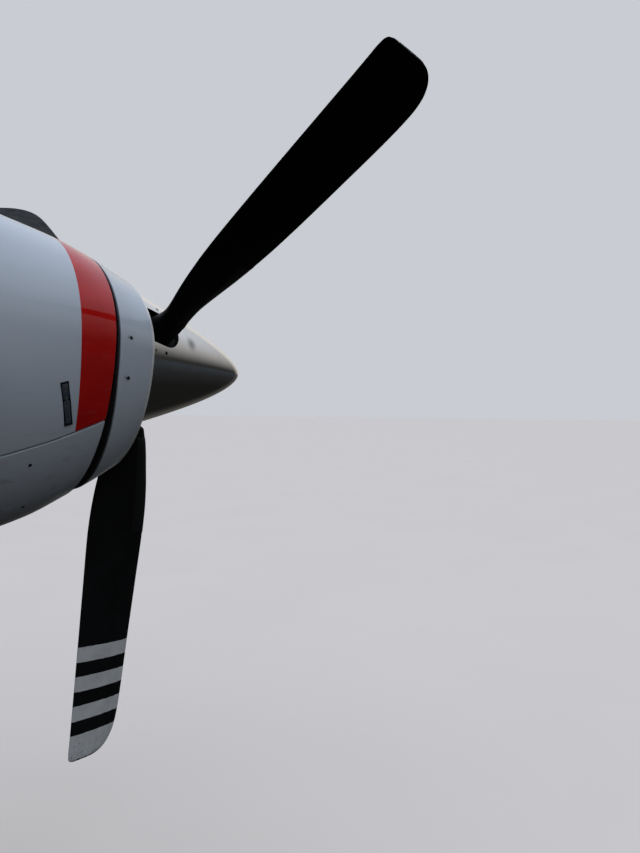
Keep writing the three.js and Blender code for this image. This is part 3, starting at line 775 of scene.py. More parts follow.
@dataclass
class Workshop:
    """Turns shapes into pieces: finish, slot, body and the nodes that each one stands for."""

    materials: dict[Finish, Material]
    made: list[Piece] = field(default_factory=list)

    def loose(self, name: str, shape: Shape) -> Piece:
        """Makes an object that isn't a piece yet.

        Args:
            name: its name.
            shape: its shape.

        Returns:
            The object.
        """
        piece = bpy.data.objects.new(name, shape.mesh(name))
        bpy.context.scene.collection.objects.link(piece)
        return piece

    def cut(self, piece: Piece, tool: Shape) -> None:
        """Cuts a shape out of a piece.

        Args:
            piece: the piece.
            tool: what is cut out of it.
        """
        cutter = self.loose("cutter", tool)
        change = piece.modifiers.new("cut", "BOOLEAN")
        change.operation = "DIFFERENCE"
        change.solver = "EXACT"
        change.object = cutter
        bpy.context.view_layer.update()
        result = bpy.data.meshes.new_from_object(piece.evaluated_get(bpy.context.evaluated_depsgraph_get()))
        piece.modifiers.clear()
        piece.data = result
        bpy.data.objects.remove(cutter)

    def ease(self, piece: Piece, width_mm: float) -> None:
        """Rounds a piece's sharp edges.

        Args:
            piece: the piece.
            width_mm: how far the rounding reaches from each edge, in millimetres.
        """
        sharp_from = math.radians(50.0)
        work = bmesh.new()
        work.from_mesh(piece.data)
        sharp = [e for e in work.edges if len(e.link_faces) == 2 and e.calc_face_angle(0) > sharp_from]
        bmesh.ops.bevel(work, geom=sharp, offset=width_mm * MM, segments=2, profile=0.5,
                        affect="EDGES", clamp_overlap=True)
        work.to_mesh(piece.data)
        work.free()

    def shade(self, piece: Piece, rule: NormalRule | None = None, angle: float = 35.0) -> None:
        """Shades a piece smoothly, by a rule for its true surface where it has one.

        Args:
            piece: the piece.
            rule: the surface's outward normal at each of several points.
            angle: how far a face may turn from the rule, or from its neighbour, and still be smooth.
        """
        mesh = piece.data
        mesh.polygons.foreach_set("use_smooth", np.ones(len(mesh.polygons), bool))
        if rule is None:
            mesh.set_sharp_from_angle(angle=math.radians(angle))
            return
        vertex = np.zeros(len(mesh.loops), np.int32)
        mesh.loops.foreach_get("vertex_index", vertex)
        points = np.zeros(len(mesh.vertices) * 3, np.float32)
        mesh.vertices.foreach_get("co", points)
        flat = np.zeros(len(mesh.polygons) * 3, np.float32)
        mesh.polygons.foreach_get("normal", flat)
        sizes = np.zeros(len(mesh.polygons), np.int32)
        mesh.polygons.foreach_get("loop_total", sizes)
        flat = np.repeat(flat.reshape(-1, 3), sizes, axis=0)
        true = rule(points.reshape(-1, 3)[vertex].astype(float))
        agree = np.einsum("ij,ij->i", flat, true)
        limit = math.cos(math.radians(angle))
        corners = np.where((agree > limit)[:, None], true, flat)
        corners = np.where((agree < -limit)[:, None], -true, corners)
        mesh.normals_split_custom_set(corners.tolist())

    def deliver(self, piece: Piece, body: str, finish: Finish, replaces: Sequence[str] = (),
                material: Material | None = None) -> None:
        """Gives a piece its finish, slot, body and the nodes it stands for.

        Args:
            piece: the piece, in place.
            body: the moving body that carries it.
            finish: its finish.
            replaces: nodes of the frame that it stands for.
            material: a material of its own in place of the finish's usual one.
        """
        piece.data.name = piece.name
        piece.data.materials.clear()
        piece.data.materials.append(material or self.materials[finish])
        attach(piece, body)
        if replaces:
            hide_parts(*replaces)
        self.made.append(piece)
        LOG.info("%s: %d faces on %s", piece.name, len(piece.data.polygons), body)

    def part(self, name: str, shape: Shape, body: str, finish: Finish, replaces: Sequence[str] = (),
             ease_mm: float = 0.0, material: Material | None = None) -> None:
        """Makes, eases, shades and delivers a shape in one go.

        Args:
            name: the piece's name.
            shape: its shape.
            body: the moving body that carries it.
            finish: its finish.
            replaces: nodes of the frame that it stands for.
            ease_mm: how far its sharp edges are rounded, in millimetres.
            material: a material of its own in place of the finish's usual one.
        """
        piece = self.loose(name, shape)
        if ease_mm:
            self.ease(piece, ease_mm)
        self.shade(piece)
        self.deliver(piece, body, finish, replaces, material)


# Nacelle

@dataclass(frozen=True)
class NacelleForm:
    """The nacelle's outer surface: fair lines through sections that are nearly elliptical."""

    # Columns: station, half width, height above the thrust line, depth below it, power of the upper outline
    sections: Table = (
        (83, 288, 244, 341, 1.78), (150, 308, 265, 384, 1.86), (226, 336, 287, 424, 1.98),
        (332, 366, 312, 478, 2.05), (468, 388, 335, 522, 2.05), (620, 405, 360, 550, 2.05),
        (800, 422, 360, 562, 2.05), (1100, 440, 360, 560, 2.05), (1500, 445, 360, 520, 2.05),
        (1950, 445, 360, 455, 2.05))
    belly_power: float = 2.05
    front: float = 83.0
    cowl_front: float = 226.0
    cowl_rear: float = 1943.7
    skin: float = 12.0

    def lines(self) -> tuple[FairLine, ...]:
        """Half width, height, depth and the upper outline's power, against station."""
        table = np.array(self.sections, float)
        return tuple(FairLine(table[:, 0], table[:, column]) for column in (1, 2, 3, 4))

    def sizes(self, station: Array, inset: float | Array = 0.0) -> tuple[Array, Array, Array, Array]:
        """Half width, height and depth at stations, drawn in by an inset, and the upper outline's power."""
        width, height, depth, power = (line.at(station) for line in self.lines())
        return width - inset, height - inset, depth - inset, power

    def point(self, station: Array, turn: Array, inset: float | Array = 0.0) -> Array:
        """Points on the surface, or below it.

        Args:
            station: their stations.
            turn: their turns round the thrust line, 0 to port and a quarter turn at the top.
            inset: how far they lie below the surface.

        Returns:
            The points, in metres.
        """
        width, height, depth, crown = self.sizes(station, inset)
        across, up = np.cos(turn), np.sin(turn)
        power = 2 / np.where(up >= 0, crown, self.belly_power)
        y = width * np.sign(across) * np.abs(across) ** power
        z = np.where(up >= 0, height, depth) * np.sign(up) * np.abs(up) ** power
        return place(station, y, z)

    def normal(self, points: Array) -> Array:
        """Outward normals near the surface.

        Args:
            points: places in metres.

        Returns:
            The surface's normal at each.
        """
        station = (HUB_X - points[..., 0]) / MM
        width, height, depth, crown = self.sizes(station)
        wide, high, deep, later_crown = self.sizes(station + 1.0)
        y, z = points[..., 1] / MM, points[..., 2] / MM
        above = z >= 0
        reach, later = np.where(above, height, depth), np.where(above, high, deep)
        power = np.where(above, crown, self.belly_power)
        turning = np.where(above, later_crown - crown, 0.0)
        share_y, share_z = np.maximum(np.abs(y) / width, 1e-6), np.maximum(np.abs(z) / reach, 1e-6)
        fore = share_y**power * (power * (wide - width) / width - turning * np.log(share_y))
        fore += share_z**power * (power * (later - reach) / reach - turning * np.log(share_z))
        side = power * share_y ** (power - 1) / width * np.sign(y)
        rise = power * share_z ** (power - 1) / reach * np.sign(z)
        return unit(np.stack([fore, side, rise], axis=-1))

    def turn_at_height(self, station: Array, height: float | Array) -> Array:
        """The turn, on the port side, where the surface is at a height.

        Args:
            station: the station or stations.
            height: height above the thrust line.

        Returns:
            The turn at each station.
        """
        _, top, depth, crown = self.sizes(station)
        above = np.asarray(height) >= 0
        share = np.clip(np.abs(height) / np.where(above, top, depth), 0, 1)
        return np.sign(height) * np.arcsin(share ** (np.where(above, crown, self.belly_power) / 2))

    def turn_at_side(self, station: Array, off: float, below: bool = False) -> Array:
        """The turn where the surface is a distance off centre.

        Args:
            station: the station or stations.
            off: the distance to port.
            below: whether it is the place below the thrust line, not the one above.

        Returns:
            The turn at each station.
        """
        width, _, _, crown = self.sizes(station)
        power = self.belly_power if below else crown
        turn = np.arccos(np.clip(abs(off) / width, 0, 1) ** (power / 2))
        turn = np.where(off < 0, math.pi - turn, turn)
        return -turn if below else turn

    def spot(self, station: float, height: float, hand: int) -> tuple[Array, Array]:
        """A point on the side of the nacelle and the normal there."""
        point = self.point(station, self.turn_at_height(station, height)) * np.array([1, hand, 1])
        return point, self.normal(point)


FORM = NacelleForm()


@dataclass(frozen=True)
class SplitLine:
    """The line where the cowl doors meet the lower cowl, and the panel that steps up round each exhaust."""

    # Columns: station, height above the thrust line
    line: Table = ((226, -203), (379, -265), (489, -302), (700, -345), (1950, -345))
    panel_front: float = 560.0
    panel_rear: float = 885.0
    panel_top: float = 12.0
    half_gap: float = 2.5

    def height(self, station: float | Array) -> Array:
        """Height of the plain line at a station."""
        table = np.array(self.line)
        return np.interp(station, table[:, 0], table[:, 1])


SPLIT = SplitLine()


def fastener_shape(places: Iterable[tuple[Array, Array]], radius: float, proud: float = 0.5) -> Shape:
    """Countersunk screw heads with a round socket, all in one shape.

    Args:
        places: a point on the skin and its normal for each.
        radius: the head's radius in millimetres.
        proud: how far the head stands above the skin, in millimetres.

    Returns:
        The shape.
    """
    shape = Shape()
    sunk, socket, floor = -1.5, 0.42 * radius, 0.15
    profile = [[sunk, 0], [sunk, radius], [proud * 0.4, radius], [proud, radius * 0.82], [proud, socket],
               [floor, socket * 0.9], [floor, 0]]
    for point, normal in places:
        shape.turned(profile, 20, start=Vector(point), along=Vector(normal))
    return shape


@dataclass
class NoseRing:
    """The fixed ring round the spinner, with the chin intake in its front face and its rubber seal."""

    shop: Workshop
    wall: float = 12.0
    bore: float = 240.0
    bore_edge: float = 1.0
    lip_radius: float = 7.0
    # Station ahead of which the lip is painted near-white as a painted highlight along its rim
    highlight_lip: float = 92.5
    # Columns: height above the thrust line, distance of the rear edge ahead of the cowls
    set_back: Table = ((-424, 48), (-100, 19), (287, 8))
    screw_station: float = 172.0
    screw_heights: tuple[float, ...] = (20.0, -87.0)
    screw_radius: float = 5.0
    turns: int = 240
    # The intake mouth: half its width, its roof's height, its corners' radius and its bead's
    mouth_half: float = 168.0
    mouth_roof: float = -254.0
    mouth_corner: float = 22.0
    bead: float = 3.0
    # The seal's section; columns: share of the way aft, inset below the skin
    seal: Table = (
        (0.0, 12.0), (0.0, 8.4), (0.05, 6.3), (0.13, 4.5), (0.24, 3.4), (0.37, 3.0), (0.5, 3.4), (0.61, 4.5),
        (0.69, 6.3), (0.74, 8.4), (0.77, 10.4), (1.0, 10.8), (1.0, 12.0))

    def rear(self, height: Array) -> Array:
        """Station of the ring's rear edge at a height."""
        table = np.array(self.set_back, float)
        return FORM.cowl_front - np.interp(height, table[:, 0], table[:, 1])

    def rear_at(self, turn: Array) -> Array:
        """Finds the ring's rear edge, whose height changes with its station.

        Args:
            turn: turns round the nacelle.

        Returns:
            The rear edge's station at each.
        """
        guess = np.full_like(turn, FORM.cowl_front)
        for _ in range(6):
            guess = self.rear(FORM.point(guess, turn)[:, 2] / MM)
        return guess

    def skin(self) -> Shape:
        """The ring, forward along the skin, round the lip, in to the bore and aft again inside.

        Returns:
            The shape, still without the intake mouth.
        """
        turn = np.linspace(0, 2 * math.pi, self.turns, endpoint=False)
        rear = self.rear_at(turn)
        front = np.full_like(turn, FORM.front)
        lip = FORM.point(front, turn)
        reach = np.linalg.norm(lip[:, 1:], axis=1) / MM
        rounding = np.minimum(self.lip_radius, 0.45 * (reach - self.bore))
        loops = []
        for share in np.linspace(1, 0, 15):
            loops.append(FORM.point(front + rounding + (rear - front - rounding) * share, turn))
        outward = unit(np.concatenate([np.zeros((self.turns, 1)), lip[:, 1:]], axis=1))
        centre = FORM.point(front + rounding, turn) - outward * rounding[:, None] * MM
        for angle in np.linspace(0, math.pi / 2, 7)[1:]:
            ahead = np.array([[math.sin(angle), 0, 0]])
            loops.append(centre + (outward * math.cos(angle) + ahead) * rounding[:, None] * MM)
        bore = np.concatenate([np.full((self.turns, 1), HUB_X), outward[:, 1:] * self.bore * MM], axis=1)
        last = loops[-1]
        flat = bore + outward * self.bore_edge * MM
        flat[:, 0] = HUB_X - FORM.front * MM
        for share in (0.33, 0.66, 1.0):
            loops.append(last + (flat - last) * share)
        for station in (FORM.front + self.bore_edge, FORM.front + self.wall):
            step = bore.copy()
            step[:, 0] = HUB_X - station * MM
            loops.append(step)
        for share in np.linspace(0, 1, 10):
            station = front + self.wall + (rear - front - self.wall) * share
            loops.append(FORM.point(station, turn, FORM.skin))
        return Shape().ring(loops)

    def build(self) -> None:
        """Makes the ring with its intake mouth, the seal, the screws and the mouth's bead."""
        ring = self.shop.loose("nose_ring_skin", self.skin())
        self.shop.cut(ring, self.mouth())
        self.shop.shade(ring, FORM.normal, 20.0)
        places = [FORM.spot(self.screw_station, height, hand)
                  for hand in (STARBOARD, PORT) for height in self.screw_heights]
        # The airflow draws each screw's dirt aft, so a stain's middle lies 4 mm behind it
        stains = tuple(Stain((x - 4 * MM, y, z), (18, 40, 11), 0.9) for (x, y, z), _ in places)
        enamel = GlossEnamel("gloss_white_enamel_ring", highlight_lip=self.highlight_lip, film_glow=1.0, stains=stains)
        self.shop.deliver(ring, "nacelle", Finish.WHITE, ["nose_ring"], enamel.build())
        self.build_seal()
        screws = fastener_shape(places, self.screw_radius)
        self.shop.part("nose_ring_screws", screws, "nacelle", Finish.LATCH)
        self.shop.part("intake_mouth_lip", self.mouth_rim(), "nacelle", Finish.WHITE)

    def mouth_outline(self) -> Array:
        """The chin intake's outline: flat above, bowed below, with round corners.

        Returns:
            Its points' y and z, in millimetres.
        """
        across = np.linspace(-self.mouth_half, self.mouth_half, 72)
        level = FORM.front + 6.0
        floor = np.array([FORM.point(level, FORM.turn_at_side(level, y, True), FORM.skin + 1.0)[2] / MM
                          for y in across])
        end = np.clip((self.mouth_half - np.abs(across)) / self.mouth_corner, 0, 1)
        ease = self.mouth_corner * (1 - np.sqrt(np.clip(1 - (1 - end) ** 2, 0, 1)))
        middle = np.minimum((self.mouth_roof + floor) / 2, self.mouth_roof - 4.0)
        top = np.maximum(self.mouth_roof - ease, middle)
        bottom = np.minimum(floor + ease, middle - 1.0)
        return np.concatenate([np.stack([across, top], 1), np.stack([across[::-1], bottom[::-1]], 1)])

    def mouth(self) -> Shape:
        """The cutter for the intake mouth.

        Returns:
            The shape, from ahead of the ring to just behind its front wall.
        """
        outline = self.mouth_outline()
        ends = (70.0, FORM.front + self.wall + 3)
        loops = [place(station, outline[:, 0], outline[:, 1]) for station in ends]
        return Shape().ring(loops, closed=False)

    def mouth_rim(self) -> Shape:
        """A rolled bead round the intake mouth.

        Returns:
            The shape.
        """
        outline = self.mouth_outline()
        tangent = np.roll(outline, -1, 0) - np.roll(outline, 1, 0)
        outward = unit(np.stack([-tangent[:, 1], tangent[:, 0]], 1))
        loops = []
        for angle in np.linspace(0, 2 * math.pi, 12, endpoint=False):
            at = outline + outward * self.bead * math.cos(angle) * 0.9
            loops.append(place(FORM.front + 3.2 - self.bead * math.sin(angle), at[:, 0], at[:, 1]))
        return Shape().ring(loops)

    def build_seal(self) -> None:
        """Makes the rubber bulb behind the ring, with a dark slot between it and the cowls."""
        turn = np.linspace(0, 2 * math.pi, self.turns, endpoint=False)
        start = self.rear_at(turn) + 0.3
        end = np.full_like(turn, FORM.cowl_front - 5.0)
        loops = [FORM.point(start + (end - start) * share, turn, inset) for share, inset in self.seal]
        bulb = Shape().ring(loops)
        self.shop.part("nose_seal_bulb", bulb, "nacelle", Finish.RUBBER, ["nose_seal"])


@dataclass
class Hinges:
    """The cowl doors' hinges on the spine: barrels, leaves and pins."""

    shop: Workshop
    stations: tuple[float, ...] = (640.0, 1200.0, 1800.0)
    radius: float = 8.0
    edge: float = 1.0
    bore: float = 4.1
    pin: float = 3.7
    spine_length: float = 30.0
    door_length: float = 22.0
    end_gap: float = 0.5
    side: float = 52.5
    # Off the pin and half width: the leaf below a barrel, and the strap on the door's skin
    leaf: tuple[float, float] = (10.5, 8.0)
    strap: tuple[float, float] = (26.0, 16.0)

    def height(self) -> float:
        """Height of the pins above the thrust line."""
        return JOINT_PLACES["door_right_hinge"][2] / MM

    def barrel(self, shape: Shape, front: float, rear: float, hand: int, on_door: bool) -> None:
        """Adds a barrel with its leaf and, on a door, the strap that holds it to the skin.

        Args:
            shape: the shape that grows.
            front: station of the barrel's front end.
            rear: station of its rear end.
            hand: STARBOARD or PORT.
            on_door: whether it is the door's, not the spine's.
        """
        height = self.height()
        shape.turned([[front, self.bore], [front, self.radius - self.edge], [front + self.edge, self.radius],
                      [rear - self.edge, self.radius], [rear, self.radius - self.edge], [rear, self.bore]],
                     32, (hand * self.side, height))
        middle, half = (front + rear) / 2, (rear - front) / 2 - 0.4
        off, half_leaf = self.leaf
        leaf = self.side + (off if on_door else -off)
        skin = FORM.point(middle, FORM.turn_at_side(middle, leaf))[2] / MM
        centre = place(middle, hand * leaf, (skin + height) / 2 - 1.2)
        shape.block(centre, (half, half_leaf, (height - skin) / 2 + 2.0))
        if on_door:
            off, half_strap = self.strap
            flip = np.array([1, hand, 1])
            base = FORM.point(middle, FORM.turn_at_side(middle, self.side + off))
            normal = FORM.normal(base) * flip
            across = unit(np.cross(normal, [1.0, 0, 0]))
            centre = base * flip + normal * 0.9 * MM
            shape.block(centre, (half, half_strap, 1.3), ([1.0, 0, 0], across, normal))

    def build(self) -> None:
        """Makes the spine's barrels with their pins, and each door's barrels."""
        spine = Shape()
        half = self.spine_length / 2
        reach = half + self.end_gap + self.door_length
        for hand, side in SIDES:
            door = Shape()
            for station in self.stations:
                self.barrel(spine, station - half, station + half, hand, False)
                for direction in (-1, 1):
                    near = station + direction * (half + self.end_gap)
                    far = near + direction * self.door_length
                    self.barrel(door, min(near, far), max(near, far), hand, True)
                spine.turned([[station - reach, 0], [station - reach, self.pin], [station + reach, self.pin],
                              [station + reach, 0]], 20, (hand * self.side, self.height()))
            self.shop.part(f"door_hinges_{side}", door, f"door_{side}", Finish.WHITE, ease_mm=0.6)
        self.shop.part("spine_hinges", spine, "nacelle", Finish.WHITE, ease_mm=0.6)


@dataclass
class Latches:
    """Flush toggle latches: a grey lever, its trigger and a bright hook, level in a dark framed pocket."""

    shop: Workshop
    stations: tuple[float, ...] = (354.0, 980.0, 1660.0)
    width: float = 22.0
    length: float = 112.0
    depth: float = 9.0
    rim: float = 1.6
    # Distance above the split line, and lean of the top aft in degrees
    clear: float = 28.0
    tilt: float = 19.0
    # Blocks: middle and half size, both across, along and outward
    pivot: Table = ((0, -10.3, -2.6), (6.0, 1.9, 1.0))
    levers: tuple[Table, ...] = (
        ((0, 22.0, -1.9), (8.0, 30.0, 1.3)), ((0, -31.5, -1.9), (8.0, 20.0, 1.3)))
    hooks: tuple[Table, ...] = (
        ((0, -10.0, -0.9), (3.2, 7.0, 0.8)), ((-2.4, -4.0, -0.7), (0.9, 4.0, 0.9)),
        ((2.4, -4.0, -0.7), (0.9, 4.0, 0.9)))
    rivets: tuple[float, ...] = (-43.0, 43.0)
    rivet_radius: float = 2.6

    def __post_init__(self) -> None:
        """Mixes the levers' own finish."""
        enamel = Metalwork("grey_latch_lever_enamel", "565e66", "4b5259", 0.38, 0.15, 14.0, 0.25, 0.03)
        self.grey = enamel.build()

    def seat(self, station: float, hand: int) -> tuple[Array, Array, Array, Array]:
        """Where a latch lies.

        Args:
            station: its station.
            hand: STARBOARD or PORT.

        Returns:
            Its middle on the skin, and its axes across, along and outward.
        """
        height = float(SPLIT.height(station)) + self.clear + self.length / 2
        point, normal = FORM.spot(station, height, hand)
        along = np.array([math.sin(math.radians(self.tilt)), 0, -math.cos(math.radians(self.tilt))])
        along = unit(along - normal * (along @ normal))
        return point, np.cross(along, normal), along, normal

    def pocket(self, station: float, hand: int) -> Shape:
        """The cutter for one pocket.

        Args:
            station: the latch's station.
            hand: STARBOARD or PORT.

        Returns:
            The shape.
        """
        point, across, along, normal = self.seat(station, hand)
        half = (self.width / 2 + 0.6, self.length / 2 + 0.6, self.depth)
        return Shape().block(point, half, (across, along, normal))

    def build(self, station: float, hand: int, side: str, number: int) -> None:
        """Makes one latch: pan with a raised frame, levers and hook.

        Args:
            station: its station.
            hand: STARBOARD or PORT.
            side: the side's name.
            number: its number from the front.
        """
        point, across, along, normal = self.seat(station, hand)
        axes = (across, along, normal)

        def at(x: float, y: float, z: float) -> Array:
            """A place on the latch, in millimetres across, along and outward."""
            return point + (across * x + along * y + normal * z) * MM

        half_width, half_length, half_rim = self.width / 2, self.length / 2, self.rim / 2
        pan = Shape().block(at(0, 0, -6.5), (half_width, half_length, 2.3), axes)
        for end in (-1, 1):
            beside, beyond = end * (half_width - half_rim), end * (half_length - half_rim)
            pan.block(at(beside, 0, -2.3), (half_rim, half_length, 2.1), axes)
            pan.block(at(0, beyond, -2.3), (half_width - self.rim, half_rim, 2.1), axes)
        pan.block(at(*self.pivot[0]), self.pivot[1], axes)
        lever, hook = Shape(), Shape()
        for shape, blocks in ((lever, self.levers), (hook, self.hooks)):
            for middle, half in blocks:
                shape.block(at(*middle), half, axes)
        radius = self.rivet_radius
        head = [[-1.6, 0], [-1.6, radius], [-0.5, radius], [-0.1, radius * 0.7], [-0.1, 0]]
        for rivet in self.rivets:
            lever.turned(head, 20, start=Vector(at(0, rivet, 0)), along=Vector(normal))
        name, body = f"latch_{side}_{number}", f"door_{side}"
        self.shop.part(f"{name}_pan", pan, body, Finish.LATCH, [name], ease_mm=0.35)
        self.shop.part(f"{name}_lever", lever, body, Finish.LATCH, ease_mm=0.5, material=self.grey)
        self.shop.part(f"{name}_hook", hook, body, Finish.COOLER, ease_mm=0.3)


@dataclass
class Exhausts:
    """The two stub exhausts, each one a bent pipe with a weld bead and a flared end."""

    shop: Workshop
    height: float = -95.0
    radius: float = 78.0
    wall: float = 4.0
    # Radius of the lower cowl's hole round a stack
    hole_radius: float = 83.0
    boss: float = 232.3
    # Columns: station, distance off centre
    path: Table = ((650, 340), (652, 455), (735, 520), (840, 560))
    bends: int = 28
    sides: int = 64
    # The weld: the ring of the sweep that it lies at, its width in rings and its height
    weld: tuple[float, float, float] = (12, 0.8, 1.6)
    flare: float = 0.8

    def centre_line(self) -> tuple[Array, Array]:
        """The bent centre line, from the engine's boss outward.

        Returns:
            Its points and its sideways normals, both as station and side.
        """
        knots = np.array(self.path, float)
        t = np.linspace(0, 1, self.bends)[:, None]
        curve = (knots[0] * (1 - t) ** 3 + 3 * knots[1] * t * (1 - t) ** 2 + 3 * knots[2] * t**2 * (1 - t)
                 + knots[3] * t**3)
        root = np.array([[knots[0, 0], self.boss], [knots[0, 0], (self.boss + knots[0, 1]) / 2]])
        line = np.concatenate([root, curve])
        tangent = unit(np.gradient(line, axis=0))
        tangent[:2] = (0, 1)
        return line, np.stack([-tangent[:, 1], tangent[:, 0]], axis=1)

    def loops(self, hand: int, radius: Array | float) -> Array:
        """Rings round the centre line.

        Args:
            hand: STARBOARD or PORT.
            radius: their radius, or one for each.

        Returns:
            The rings, each with its points in metres.
        """
        line, across = self.centre_line()
        turn = np.linspace(0, 2 * math.pi, self.sides, endpoint=False)
        radius = np.broadcast_to(radius, (len(line),))
        station = line[:, :1] + across[:, :1] * radius[:, None] * np.cos(turn)
        side = line[:, 1:] + across[:, 1:] * radius[:, None] * np.cos(turn)
        return place(station, hand * side, self.height + radius[:, None] * np.sin(turn))

    def hole(self, hand: int) -> Shape:
        """The cutter for the lower cowl's hole round one stack."""
        return Shape().ring(self.loops(hand, self.hole_radius), closed=False)

    def build(self) -> None:
        """Makes both stacks."""
        ring, width, proud = self.weld
        count = self.bends + 2
        weld = np.exp(-(((np.arange(count) - ring) / width) ** 2)) * proud
        flare = np.zeros(count)
        flare[-1] = self.flare
        for hand, side in SIDES:
            outside = self.loops(hand, self.radius - 1.0 + flare + weld)
            inside = self.loops(hand, self.radius - self.wall)[::-1]
            stack = Shape().ring(np.concatenate([outside, inside]))
            self.shop.part(f"exhaust_stack_{side}", stack, "nacelle", Finish.EXHAUST, [f"exhaust_{side}"])


